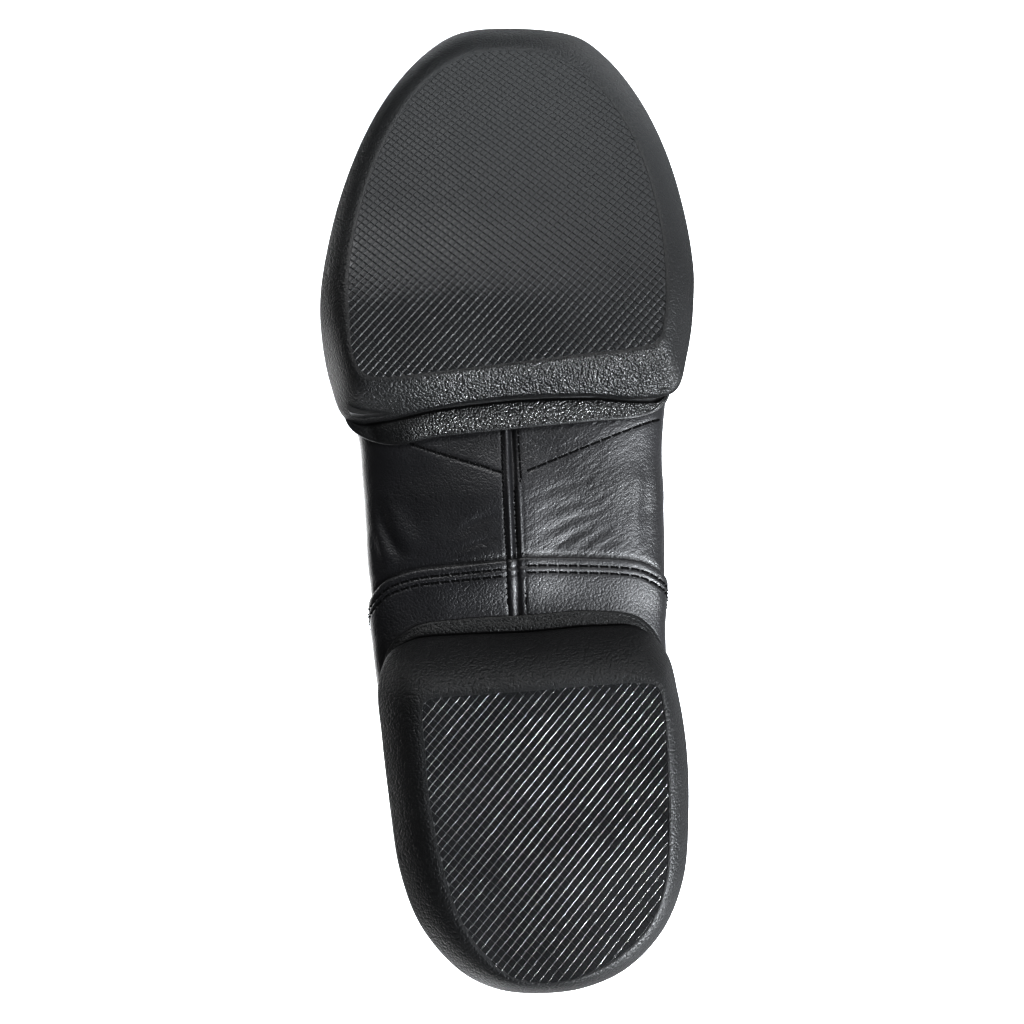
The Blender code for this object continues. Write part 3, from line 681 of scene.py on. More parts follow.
def dents(x, y, u):
    """How far the arch leather stands out (+) or in (-) at each spot."""
    low = np.abs(u) < 44
    out = np.zeros(x.shape)
    # middle seam: two rolled edges with a valley between, and a stitch row pulled in on each side
    d = seam_x(y) - x
    on = step(-34, -29, y) * (1 - step(37, 41, y)) * low
    valley = bell(d - 0.15, 0.72)
    rolls = 0.52 * bell(d + 1.3, 0.66) + 0.2 * bell(d - 1.25, 0.5)
    pulls = 0.2 * bell(d - SEAM_ROWS[0], 0.45) + 0.16 * bell(d - SEAM_ROWS[1], 0.45)
    out += on * (-1.3 * valley + rolls - pulls)
    # the leather is crowned across the foot
    out += (1.9 * bell(x + 0.5, np.where(x > -0.5, 18.0, 12.0)) + 0.9 * bell(x + 35.0, 10.0)) * step(-25, -12, y) * (1 - step(6, 22, y)) * low
    for line, depth in ((V_INNER, 0.16), (V_OUTER, 0.16)):
        e, at = along(x, y, line)
        fade = step(0.0, 0.03, at) * (1 - step(0.97, 1.0, at)) * low
        out -= fade * depth * bell(e, 0.5)
    for line, depth, width in CREASES:
        e, at = along(x, y, line)
        fade = np.sin(np.pi * np.clip(at, 0, 1)) ** 0.6 * low
        out += fade * depth * (-bell(e, width) + 0.55 * bell(e - 1.7 * width, 1.1 * width) + 0.35 * bell(e + 1.7 * width, 1.2 * width))
    for line, depth, width in FLEX_CREASES:
        e, at = along(u, y, line)
        fade = np.sin(np.pi * np.clip(at, 0, 1)) ** 0.8
        out += fade * depth * (-bell(e, width) + 0.4 * bell(np.abs(e) - 1.9 * width, 1.2 * width))
    # front edge of the counter presses the leather under it
    e = y - counter_edge(u)
    out -= 0.3 * bell(e - 0.5, 0.9)
    out += 0.06 * wave(x, y, 13.0, 5) * low * step(-36, -20, y) * (1 - step(22, 34, y))
    out += 0.10 * wave(u, y, 24.0, 8)
    out += 0.7 * bell(u - 46.0, 9.0) * step(-30, -8, y) * (1 - step(14, 26, y))
    return out


STATIONS = skin_stations()
BASE, AROUND = skin_table(STATIONS)
NORMALS = grid_normals(BASE)
SKIN = BASE + NORMALS * dents(BASE[..., 0], BASE[..., 1], AROUND)[..., None]
SKIN_NORMALS = grid_normals(SKIN)


def weld(p):
    """Corner numbers of the skin grid, joined at its two ends and along the closed top line, and the joined points."""
    rows, cols = p.shape[:2]
    ids = np.arange(rows * cols).reshape(rows, cols)
    p = p.copy()
    for end in (0, rows - 1):
        p[end] = (p[end] + p[end, ::-1]) / 2
        ids[end, MID + 1 :] = ids[end, :MID][::-1]
    closed = STATIONS >= THROAT_Y - 1e-6
    p[closed, 0] = (p[closed, 0] + p[closed, -1]) / 2
    p[closed, -1] = p[closed, 0]
    ids[closed, -1] = ids[closed, 0]
    return ids, p.reshape(-1, 3)


def under_soles(y, u, half):
    deep = np.abs(u) < half - 12
    return (((y > 38) & (y < 120)) | ((y > -94) & (y < -38))) & deep


def make_upper():
    ids, points = weld(SKIN)
    y = (STATIONS[:-1] + STATIONS[1:])[:, None] / 2
    u = (AROUND[:-1, :-1] + AROUND[1:, 1:]) / 2
    s = section(STATIONS)
    half = np.minimum(s["half_out"], s["half_in"])[:-1, None]
    faces = grid_faces(ids, ~under_soles(y, u, half))
    obj, used = new_piece("upper_leather", points, [faces[:, ::-1]], MATS["arch"])
    d = seam_x(BASE[..., 1]) - BASE[..., 0]
    drawn = 0.12 + 0.88 * step(0.5, 4.0, d) * (np.abs(AROUND) < 44) * step(-30, -14, BASE[..., 1]) * (1 - step(24, 36, BASE[..., 1]))
    set_attribute(obj, used, "streak", drawn.reshape(-1))
    return obj, used


def make_lining():
    """The textile inside, a wall's thickness in from the leather."""
    inner = BASE - NORMALS * WALL
    inner[0], inner[-1] = BASE[0] + (0, WALL, 0), BASE[-1] - (0, WALL, 0)
    rows = np.unique(np.concatenate([np.arange(0, len(STATIONS), 3), [len(STATIONS) - 1], np.where(STATIONS == THROAT_Y)[0]]))
    half = np.unique(np.concatenate([np.arange(0, MID + 1, 4), [MID]]))
    cols = np.concatenate([half, 2 * MID - half[::-1][1:]])
    ids, points = weld(inner)
    faces = grid_faces(ids[np.ix_(rows, cols)])
    return new_piece("upper_lining", points, [faces], MATS["lining"])


# ---------------------------------------------------------------- the counter
def counter_lift(d, y):
    """How far the counter stands off the skin, d behind its front edge."""
    rise = np.interp(d, [0, 0.06, 0.2, 0.45, 0.9, 1.4], [-0.25, 0.35, 0.82, 1.02, 1.08, 1.05])
    thin = 1.05 - 0.25 * step(5, 12, d) - 0.35 * step(12, 30, d)
    lift = np.where(d < 1.4, rise, thin)
    return lift - sum(0.18 * bell(d - r, 0.45) for r in COUNTER_ROWS) + 0.08 * bell(d - 3.05, 0.5)


def make_counter():
    """The rear panel, lapped over the arch leather: from its front edge round the heel."""
    cols = np.arange(2 * MID + 1)
    near = np.concatenate([[0, 0.03, 0.08, 0.18, 0.32], np.arange(0.5, 5.0, 0.24), np.arange(5.0, 9.01, 0.5)])
    fixed = STATIONS[STATIONS <= -62.0][::-1]
    points = np.empty((len(near) + 24 + len(fixed), len(cols), 3))
    lifts = np.empty(points.shape[:2])
    around = np.empty(points.shape[:2])
    levels = np.empty(points.shape[:2])
    for j in cols:
        y0 = -12.0
        for _ in range(12):
            y0 = 0.5 * y0 + 0.5 * float(counter_edge(np.interp(y0, STATIONS, AROUND[:, j])))
        ys = np.concatenate([y0 - near, np.linspace(y0 - near[-1], fixed[0], 26)[1:-1], fixed])
        base = np.stack([np.interp(ys, STATIONS, SKIN[:, j, k]) for k in range(3)], axis=1)
        n = np.stack([np.interp(ys, STATIONS, SKIN_NORMALS[:, j, k]) for k in range(3)], axis=1)
        n /= np.linalg.norm(n, axis=1, keepdims=True)
        around[:, j] = np.interp(ys, STATIONS, AROUND[:, j])
        levels[:, j] = ys
        lifts[:, j] = counter_lift(y0 - ys, ys)
        points[:, j] = base
        lifts[:, j] -= 0.45 * bell(base[:, 0] + 2.3, 0.7) * (ys < -95) * step(22, 30, base[:, 2])
        points[:, j] += n * lifts[:, j][:, None]
    rows, n = points.shape[:2]
    ids = np.arange(rows * n).reshape(rows, n)
    points[-1] = (points[-1] + points[-1, ::-1]) / 2
    ids[-1, MID + 1 :] = ids[-1, :MID][::-1]
    y = (levels[:-1, :-1] + levels[1:, 1:]) / 2
    u = (around[:-1, :-1] + around[1:, 1:]) / 2
    s = section(y)
    faces = grid_faces(ids, ~under_soles(y, u, np.minimum(s["half_out"], s["half_in"])))
    piece = new_piece("counter_leather", points.reshape(-1, 3), [faces], MATS["counter"], 50)
    return piece, points


# ---------------------------------------------------------------- stitches
def tree_of(points, faces):
    return BVHTree.FromPolygons([tuple(p) for p in points], [tuple(int(i) for i in f) for f in faces])


def stitch_mesh(tree, path, pitch, length, radius, height):
    """Stitches along a path on a surface: bent threads that dip in at both ends."""
    path = np.asarray(path, float)
    s = np.concatenate([[0], np.cumsum(np.linalg.norm(np.diff(path, axis=0), axis=1))])
    count = int(s[-1] / pitch)
    points, faces, sides, rings = [], [], 7, 7
    for k in range(count):
        mid = (k + 0.5) * s[-1] / count
        ts = np.linspace(-0.5, 0.5, rings)
        centre, normal = [], []
        for t in ts:
            q = np.array([np.interp(mid + t * length, s, path[:, i]) for i in range(3)])
            hit = tree.find_nearest(Vector(q))
            centre.append(np.array(hit[0]))
            normal.append(np.array(hit[1]))
        centre, normal = np.array(centre), np.array(normal)
        up = normal.mean(axis=0)
        if up @ (path[0] * 0 + normal[len(normal) // 2]) < 0:
            up = -up
        up /= np.linalg.norm(up)
        # a thread lies over the hollow between its two holes
        base = centre[0] + (centre[-1] - centre[0]) * (ts + 0.5)[:, None]
        lift = np.maximum((centre - base) @ up, 0)
        arch = height * (1 - (2 * ts) ** 4) - 0.42 * (2 * np.abs(ts)) ** 6
        line = base + up * (lift + arch)[:, None]
        tangent = np.gradient(line, axis=0)
        tangent /= np.linalg.norm(tangent, axis=1, keepdims=True)
        side = np.cross(tangent, up)
        side /= np.linalg.norm(side, axis=1, keepdims=True)
        top = np.cross(side, tangent)
        thick = radius * (0.55 + 0.45 * np.sqrt(np.clip(1 - (2 * ts) ** 6, 0, 1)))
        start = sum(len(p) for p in points)
        a = np.arange(sides) / sides * math.tau
        block = line[:, None] + thick[:, None, None] * (np.cos(a)[None, :, None] * side[:, None] + np.sin(a)[None, :, None] * top[:, None])
        points.append(block.reshape(-1, 3))
        ids = start + np.arange(rings * sides).reshape(rings, sides)
        nxt = np.roll(ids, -1, axis=1)
        faces.append(np.stack([ids[:-1], ids[1:], nxt[1:], nxt[:-1]], axis=-1).reshape(-1, 4))
        for end, turn in ((0, 1), (rings - 1, -1)):
            loop = ids[end][::turn]
            faces.append(np.stack([np.full(sides - 2, loop[0]), loop[1:-1], loop[2:], loop[2:]], axis=-1))
    return np.concatenate(points), np.concatenate(faces)


def join(blocks):
    points, tris, quads, at = [], [], [], 0
    for p, f in blocks:
        f = np.asarray(f) + at
        same = f[:, 2] == f[:, 3]
        tris.append(f[same][:, :3])
        quads.append(f[~same])
        points.append(p)
        at += len(p)
    return np.concatenate(points), [np.concatenate(quads), np.concatenate(tris)]


def on_skin(xs, ys):
    """Spots of the arch seen from below, as 3-D points near the skin."""
    z, _ = bottom_of_upper(np.asarray(xs, float), np.asarray(ys, float))
    return np.stack([xs, ys, z], axis=1)


def around_skin(us, ys):
    """Spots of the skin given by the distance around the section and by y."""
    out = []
    for u, y in zip(us, ys):
        i = int(np.clip(np.searchsorted(STATIONS, y), 1, len(STATIONS) - 1))
        t = (y - STATIONS[i - 1]) / (STATIONS[i] - STATIONS[i - 1])
        row = []
        for k in (i - 1, i):
            order = np.argsort(AROUND[k])
            row.append([np.interp(u, AROUND[k][order], SKIN[k][order, c]) for c in range(3)])
        out.append(np.array(row[0]) * (1 - t) + np.array(row[1]) * t)
    return np.array(out)


# ---------------------------------------------------------------- soles
def lifted(p, z):
    return np.stack([p[:, 0], p[:, 1], z + spring(p[:, 1])], axis=1)


def outward(c):
    nxt, prv = np.roll(c, -1, axis=0), np.roll(c, 1, axis=0)
    d = nxt - prv
    turn = np.sign((c[:, 0] * nxt[:, 1] - nxt[:, 0] * c[:, 1]).sum())
    n = turn * np.stack([d[:, 1], -d[:, 0]], axis=1)
    return n / np.linalg.norm(n, axis=1, keepdims=True), turn > 0


def make_pad(name, node_name, rows, count, top_z, edge_z, breast, bend):
    """A moulded pad: recessed floor of the tread, rim rounding over to the widest edge, wall and top."""
    c = closed_curve(rows, count)
    edge, tread = c[:, :2], c[:, 2:4]
    edge_z = c[:, 4] if edge_z is None else np.full(count, edge_z)
    out, anticlockwise = outward(edge)
    tread_out, _ = outward(tread)
    rings = [lifted(tread - 0.22 * tread_out, np.full(count, TREAD_DEPTH - 0.01)), lifted(tread - 0.05 * tread_out, np.full(count, 0.04))]
    pebble = [np.zeros(count), np.zeros(count)]
    toward = step(0.15, 0.75, out[:, 1] * breast)
    rough = toward * (1 - 0.9 * step(13.0, 28.0, edge[:, 0])) if bend else 0.1 * toward
    fs = np.concatenate([[0.0, 0.02, 0.05], np.linspace(0.1, 1.0, 20)])
    edge_z = edge_z + bend * (1 - step(34.0, 66.0, edge[:, 1])) * np.clip(np.abs(edge[:, 0] + 1.5) / 38.0, 0, 1.1) ** 2 * np.where(edge[:, 0] > -1.5, 1.7, 1.0)
    top = np.maximum(top_z, edge_z + 1.0)
    for f in fs:
        p = tread + (edge - tread) * f
        rings.append(lifted(p, edge_z * f**ROUND_OVER))
        pebble.append((0.3 + 0.7 * rough) * step(0.0, 0.12, f) * (1 - step(0.95, 1.0, f) * toward))
    for grow, z in ((0.06, 0.35), (0.0, 0.75), (-0.15, 1.0)):
        level = np.minimum(edge_z + z, top - 0.12) if grow >= 0 else top - 0.06
        rings.append(lifted(edge + grow * out, level))
        pebble.append(0.3 * (1 - toward))
    for inset, level in ((0.5, top), (4.0, np.full(count, top_z))):
        rings.append(lifted(edge - inset * out, level))
        pebble.append(np.zeros(count))
    points, faces = stack_faces(rings, anticlockwise)
    obj, used = new_piece(name, points, faces, MATS["sole"], 38)
    set_attribute(obj, used, "pebble", np.concatenate(pebble))
    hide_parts(node_name)
    return obj, tread


def clip_polygon(poly, edges):
    """What is left of a polygon inside all the given edges (a point, and the direction inward)."""
    for p0, inward in edges:
        out = []
        for a, b in zip(poly, poly[1:] + poly[:1]):
            da, db = (a - p0) @ inward, (b - p0) @ inward
            if da >= 0:
                out.append(a)
            if (da >= 0) != (db >= 0):
                out.append(a + (b - a) * da / (da - db))
        poly = out
        if len(poly) < 3:
            return []
    return poly


def make_tread(name, outline, pad):
    """Small square pads in a slanted lattice over the panel, cut off along its outline."""
    y_at = np.linspace(-120, 160, 2801)
    s_at = np.concatenate([[0], np.cumsum(np.hypot(np.diff(y_at), np.diff(spring(y_at))))])
    s_at -= np.interp(0.0, y_at, s_at)
    flat = np.stack([outline[:, 0], np.interp(outline[:, 1], y_at, s_at)], axis=1)
    a = math.radians(TREAD_TURN)
    d1, d2 = np.array([-math.cos(a), math.sin(a)]), np.array([-math.sin(a), -math.cos(a)])
    out, _ = outward(flat)
    edge = flat - 0.06 * out
    reach = int(160 / TREAD_PITCH)
    i, j = np.meshgrid(np.arange(-reach, reach), np.arange(-reach, reach), indexing="ij")
    centres = ((i.ravel() + 0.5)[:, None] * d1 + (j.ravel() + 0.5)[:, None] * d2) * TREAD_PITCH
    low, high = flat.min(axis=0) - 2, flat.max(axis=0) + 2
    centres = centres[((centres > low) & (centres < high)).all(axis=1)]
    points, quads, tris, at = [], [], [], 0
    corners = np.array([[1, 1], [-1, 1], [-1, -1], [1, -1]], float)
    frame2 = np.stack([d1, d2])
    for c in centres:
        gap = edge - c
        k = int(np.argmin((gap**2).sum(axis=1)))
        inside = -(c - edge[k]) @ out[k]
        if inside < -1.2:
            continue
        poly = [c + (corners[q] * PAD_FOOT) @ frame2 for q in range(4)]
        if inside < 1.3:
            near = [(k + m) % len(edge) for m in range(-6, 7, 2)]
            poly = clip_polygon(poly, [(edge[q], -out[q]) for q in near])
            if len(poly) < 3:
                continue
        poly = np.array(poly)
        area = 0.5 * abs(np.dot(poly[:, 0], np.roll(poly[:, 1], -1)) - np.dot(poly[:, 1], np.roll(poly[:, 0], -1)))
        if area < 0.45:
            continue
        m = poly.mean(axis=0)
        u, v = (poly - m) @ d1, (poly - m) @ d2
        rings = []
        for steep, bevel, z in pad:
            q = m + np.outer(u * steep, d1) + np.outer(v * np.where(v > 0, bevel, steep), d2)
            y = np.interp(q[:, 1], s_at, y_at)
            rings.append(np.stack([q[:, 0], y, z + spring(y)], axis=1))
        n = len(poly)
        turn = np.cross(poly[1] - poly[0], poly[2] - poly[1])
        points.extend(rings)
        ids = at + np.arange(len(pad) * n).reshape(len(pad), n)
        nxt = np.roll(ids, -1, axis=1)
        side = np.stack([ids[:-1], ids[1:], nxt[1:], nxt[:-1]], axis=-1).reshape(-1, 4)
        lids = []
        for ring, flip in ((ids[-1], False), (ids[0], True)):
            fan = np.stack([np.full(n - 2, ring[0]), ring[1:-1], ring[2:]], axis=-1)
            lids.append(fan if flip else fan[:, ::-1])
        if turn < 0:
            side, lids = side[:, ::-1], [f[:, ::-1] for f in lids]
        quads.append(side)
        tris.extend(lids)
        at += len(pad) * n
    obj, _ = new_piece(name, np.concatenate(points), [np.concatenate(quads), np.concatenate(tris)], MATS["tread"], 20)
    return obj


def layer_rows(rows, shows):
    """Rows of a pad's edge, with the edge of the thin layer beside each."""
    c = np.array([r[:2] for r in rows])
    out, _ = outward(c)
    return [(*c[i], *shows.get(i, tuple(c[i] - BASE_INSET * out[i]))) for i in range(len(c))]


def make_layer(name, node_name, rows, shows, count, low_z, breast):
    """A thin layer that cups the upper, with a rounded edge where it shows past the pad."""
    c = closed_curve(layer_rows(rows, shows), count)
    edge, lip = c[:, :2], c[:, 2:4]
    out, anticlockwise = outward(edge)
    lip_out, _ = outward(lip)
    middle = lip.mean(axis=0)

    def level(p):
        z, u = bottom_of_upper(p[:, 0], p[:, 1])
        s = section(p[:, 1])
        floor_z, _ = bottom_of_upper(s["mid"], p[:, 1])
        return np.minimum(np.where(u < 1, z, 1e3), floor_z + CUP_RISE * (1 - s["end"])), floor_z, s["end"]

    shown = step(0.5, 2.5, ((lip - edge) * out).sum(axis=1) + 0.5)
    start = edge - (BASE_INSET + 1.0) * out
    rings, pebble = [lifted(start, np.full(count, low_z))], [np.zeros(count)]
    first = edge - (1.2 * shown + (BASE_INSET + 0.15) * (1 - shown))[:, None] * out
    z_first = np.full(count, low_z + 0.02)
    rings.append(lifted(first, z_first))
    pebble.append(np.zeros(count))
    for f in np.linspace(0.0, 1.0, 34):
        p = first + (lip - 0.6 * lip_out - first) * f
        z, floor_z, _ = level(p)
        far = np.linalg.norm(p - first, axis=1)
        under = z - LAYER_SHEET * (1 - 0.3 * (1 - step(1.3, 2.0, far)) * shown) - 0.35 * shown * (1 - step(0.55, 0.95, f))
        at = step(0.0, 0.16, f)
        rings.append(np.stack([p[:, 0], p[:, 1], (z_first + spring(p[:, 1])) * (1 - at) + under * at], axis=1))
        calm = 1 - 0.8 * step(18.0, 31.0, p[:, 0]) if breast < 0 else 0.3
        pebble.append(shown * calm * step(1.4, 2.2, far) * (1 - 0.7 * step(0.97, 1.0, f)))
    z, floor_z, end = level(lip)
    for grow, drop in ((-0.42, LAYER_SHEET), (-0.25, LAYER_SHEET - 0.07), (-0.12, LAYER_SHEET - 0.18), (-0.03, LAYER_SHEET - 0.38), (0.0, LAYER_SHEET - 0.65), (-0.05, 0.36)):
        p = lip + grow * lip_out
        rings.append(np.stack([p[:, 0], p[:, 1], z - drop - 0.3 * end], axis=1))
        pebble.append(np.zeros(count))
    for f in (0.965, 0.93, 0.89, 0.84, 0.76, 0.62, 0.4):
        p = middle + (lip - middle) * f
        z, floor_z, end = level(p)
        rings.append(np.stack([p[:, 0], p[:, 1], z - GAP - 0.12 * (z - floor_z) - 0.8 * end], axis=1))
        pebble.append(np.zeros(count))
    points, faces = stack_faces(rings, anticlockwise)
    obj, used = new_piece(name, points, faces, MATS["layer"], 45)
    set_attribute(obj, used, "pebble", np.concatenate(pebble))
    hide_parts(node_name)
    return obj


def make_insole():
    """The sock on the inside of the bottom, with a softly rounded edge."""
    ys = np.concatenate([[-101.5, -100.8, -99.5, -97.5, -94.0], np.linspace(-90, 112, 120), [116.0, 120.0, 124.0, 127.5, 130.5, 132.0, 132.5]])
    f = np.concatenate([[-0.78, -0.775, -0.76, -0.73], np.linspace(-0.69, 0.69, 31), [0.73, 0.76, 0.775, 0.78]])
    s = {k: v[:, None] for k, v in section(ys).items()}
    x = s["mid"] + f[None] * np.where(f[None] > 0, s["half_out"], s["half_in"])
    z, _ = bottom_of_upper(x, ys[:, None] + 0 * x)
    z = z + WALL * 1.3 + 0.4
    rim = np.clip((0.78 - np.abs(f)) / 0.06, 0, 1)[None] + 0 * x
    rim = np.minimum(rim, np.clip(np.minimum(ys - ys[0], ys[-1] - ys) / 3.0, 0, 1)[:, None])
    top = z + INSOLE_THICK * (1 - 0.4 * np.abs(f[None]) ** 3) * (0.35 + 0.65 * np.sqrt(1 - (1 - rim) ** 2))
    y = ys[:, None] + 0 * x
    n, m = x.shape
    points = np.concatenate([np.stack([x, y, top], -1).reshape(-1, 3), np.stack([x, y, z], -1).reshape(-1, 3)])
    a = np.arange(n * m).reshape(n, m)
    b = a + n * m
    faces = [grid_faces(a)[:, ::-1], grid_faces(b)]
    loop = np.concatenate([a[0], a[1:, -1], a[-1, -2::-1], a[-2:0:-1, 0]])
    nxt = np.roll(loop, -1)
    faces.append(np.stack([loop, nxt, nxt + n * m, loop + n * m], axis=-1)[:, ::-1])
    obj, _ = new_piece("insole_sock", points, faces, MATS["sock"], 50)
    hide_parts("insole")
    return obj


# ---------------------------------------------------------------- collar
def make_binding():
    """A folded strip over the collar's edge, closed at the throat and at the back."""
    last = int(np.where(STATIONS <= THROAT_Y + 1e-6)[0][-1])
    first = SKIN[: last + 1, 0], SKIN_NORMALS[: last + 1, 0], SKIN[: last + 1, 2] - SKIN[: last + 1, 0]
    other = SKIN[: last + 1, -1], SKIN_NORMALS[: last + 1, -1], SKIN[: last + 1, -3] - SKIN[: last + 1, -1]
    p, n, down = (np.concatenate([a, b[::-1][1:-1]]) for a, b in zip(first, other))
    down = down / np.linalg.norm(down, axis=1, keepdims=True)
    closed = np.concatenate([p, p[:1]])
    s = np.concatenate([[0], np.cumsum(np.linalg.norm(np.diff(closed, axis=0), axis=1))])
    count = 300
    at = np.arange(count) / count * s[-1]

    def even(v, times):
        v = np.concatenate([v, v[:1]])
        v = np.stack([np.interp(at, s, v[:, k]) for k in range(3)], axis=1)
        for _ in range(times):
            v = (np.roll(v, 1, axis=0) + 2 * v + np.roll(v, -1, axis=0)) / 4
        return v

    p, n, down = even(p, 6), even(n, 14), even(down, 14)
    tangent = np.roll(p, -1, axis=0) - np.roll(p, 1, axis=0)
    tangent /= np.linalg.norm(tangent, axis=1, keepdims=True)
    n -= (n * tangent).sum(axis=1, keepdims=True) * tangent
    n /= np.linalg.norm(n, axis=1, keepdims=True)
    up = np.cross(tangent, n)
    up *= np.sign(-(up * down).sum(axis=1, keepdims=True))
    shape = np.array(
        [(0.1, -4.2), (0.62, -4.0), (0.72, -2.6), (0.58, -2.1), (0.74, -1.5), (0.78, -0.5), (0.5, 0.4), (-0.1, 0.85), (-0.9, 1.0),
         (-1.6, 0.75), (-2.1, 0.2), (-2.3, -0.8), (-2.25, -2.4), (-2.1, -3.4), (-1.6, -3.7)]
    )
    rings = p[:, None] + shape[None, :, :1] * n[:, None] + shape[None, :, 1:] * up[:, None]
    m = len(shape)
    ids = np.arange(count * m).reshape(count, m)
    a, b = ids, np.roll(ids, -1, axis=0)
    faces = np.stack([a, np.roll(a, -1, axis=1), np.roll(b, -1, axis=1), b], axis=-1).reshape(-1, 4)
    q = rings.reshape(-1, 3)
    f0 = faces[len(faces) // 3]
    normal = np.cross(q[f0[1]] - q[f0[0]], q[f0[2]] - q[f0[0]])
    centre = rings[f0[0] // m].mean(axis=0)
    if normal @ (q[f0].mean(axis=0) - centre) < 0:
        faces = faces[:, ::-1]
    obj, _ = new_piece("collar_binding", q, [faces], MATS["binding"], 60)
    row = rings[:, 3] + 0.1 * n
    return obj, tree_of(q, faces), np.concatenate([row, row[:1]])


# ---------------------------------------------------------------- put together
(upper, _) = make_upper()
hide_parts("upper")
make_lining()
(counter, _), counter_points = make_counter()
binding, binding_tree, binding_row = make_binding()

fore_obj, fore_panel = make_pad("sole_forefoot", "outsole_forefoot", FORE_ROWS, 420, FORE_TOP_Z, FORE_EDGE_Z, -1, 3.0)
heel_obj, heel_panel = make_pad("sole_heel", "outsole_heel", HEEL_ROWS, 360, HEEL_TOP_Z, None, 1, 0.0)
make_tread("tread_forefoot", fore_panel, FORE_PAD)
make_tread("tread_heel", heel_panel, HEEL_PAD)
make_layer("layer_forefoot", "midsole_forefoot", FORE_ROWS, FORE_LAYER_SHOWS, 420, FORE_TOP_Z + GAP, -1)
make_layer("layer_heel", "midsole_heel", HEEL_ROWS, HEEL_LAYER_SHOWS, 360, HEEL_TOP_Z + GAP, 1)
make_insole()

skin_tree = tree_of(SKIN.reshape(-1, 3), grid_faces(np.arange(SKIN.shape[0] * SKIN.shape[1]).reshape(SKIN.shape[:2]))[:, ::-1])
counter_ids = np.arange(counter_points.shape[0] * counter_points.shape[1]).reshape(counter_points.shape[:2])
counter_tree = tree_of(counter_points.reshape(-1, 3), grid_faces(counter_ids))

blocks = []
for row in SEAM_ROWS:
    ys = np.linspace(24.5, -8.2, 60)
    blocks.append(stitch_mesh(skin_tree, on_skin(seam_x(ys) - row, ys), 2.3, 1.8, 0.3, 0.12))
    ys = np.linspace(-10.6, -21.5, 30)
    blocks.append(stitch_mesh(counter_tree, on_skin(seam_x(ys) - row, ys) - (0, 0, 0.8), 2.3, 1.8, 0.3, 0.12))
for line in (V_INNER, V_OUTER):
    c = through(line, 60)
    blocks.append(stitch_mesh(skin_tree, on_skin(c[:, 0], c[:, 1]), 2.9, 2.4, 0.34, 0.1))
for row in COUNTER_ROWS:
    for side in (-1, 1):
        us = side * np.linspace(3.4 if side > 0 else 2.6, 78.0, 160)
        ys = counter_edge(us) - row
        blocks.append(stitch_mesh(counter_tree, around_skin(us, ys), STITCH_PITCH, 1.9, 0.33, 0.12))
blocks.append(stitch_mesh(binding_tree, binding_row, 2.8, 2.0, 0.24, 0.12))
points, faces = join(blocks)
new_piece("stitches", points, faces, MATS["thread"])


# ---------------------------------------------------------------- floor, light, camera
def glow_material(name, bands):
    """White acrylic lit from behind, as on a light table; bands gives its brightness along y."""
    m, t, p = shader(name)
    where = node(t, "ShaderNodeTexCoord").outputs["Object"]
    t.links.new(blend_colour(t, noise(t, where, 3.0), (0.84, 0.84, 0.845), (0.87, 0.87, 0.87)), p.inputs["Base Color"])
    y = node(t, "ShaderNodeSeparateXYZ", {0: where}).outputs["Y"]
    total = None
    for (y0, y1), low, high in bands:
        band = ramp(t, y, y0, y1, low, high)
        total = band if total is None else math_node(t, "MULTIPLY", total, band)
    t.links.new(total, p.inputs["Emission Strength"])
    p.inputs["Roughness"].default_value = 0.8
    p.inputs["Specular IOR Level"].default_value = 0.2
    p.inputs["Emission Color"].default_value = (0.96, 0.98, 1.0, 1)
    return m


def add_stage(name, points, faces, mats):
    mesh = bpy.data.meshes.new(name)
    mesh.from_pydata([tuple(p) for p in points], [], [tuple(int(i) for i in f) for f in faces])
    mesh.shade_smooth()
    for m in mats:
        mesh.materials.append(m)
    obj = bpy.data.objects.new(name, mesh)
    bpy.context.scene.collection.objects.link(obj)
    obj.visible_shadow = False  # the keys shine up through it
    return obj


def make_sweep():
    """The light table: a floor that turns up into a low backdrop behind the shoe. It lights, and the room shows."""
    profile = [(-2.2, 0.0), (-1.0, 0.0), (-0.32, 0.0), (-0.16, 0.0), (0.2, 0.0), (0.9, 0.0)]
    profile += [(0.9 + 0.3 * math.sin(a), 0.3 - 0.3 * math.cos(a)) for a in np.linspace(0, math.pi / 2, 14)[1:]]
    profile += [(1.2, BACKDROP_HEIGHT)]
    xs = np.linspace(-2.4, 2.4, 9)
    points = np.array([(x, y, z) for y, z in profile for x in xs])
    ids = np.arange(len(points)).reshape(len(profile), len(xs))
    floor = glow_material("sweep_floor", ((GLOW_EDGE, FRONT_GLOW, FLOOR_GLOW), (BEHIND_EDGE, 1.0, BEHIND_GLOW / FLOOR_GLOW)))
    wall = glow_material("sweep_back", (((0.0, 1.0), BACKDROP_GLOW, BACKDROP_GLOW),))
    obj = add_stage("sweep", points, grid_faces(ids), (floor, wall))
    for face in obj.data.polygons:
        face.material_index = int(face.center.z > 0.02)
    obj.visible_camera = False


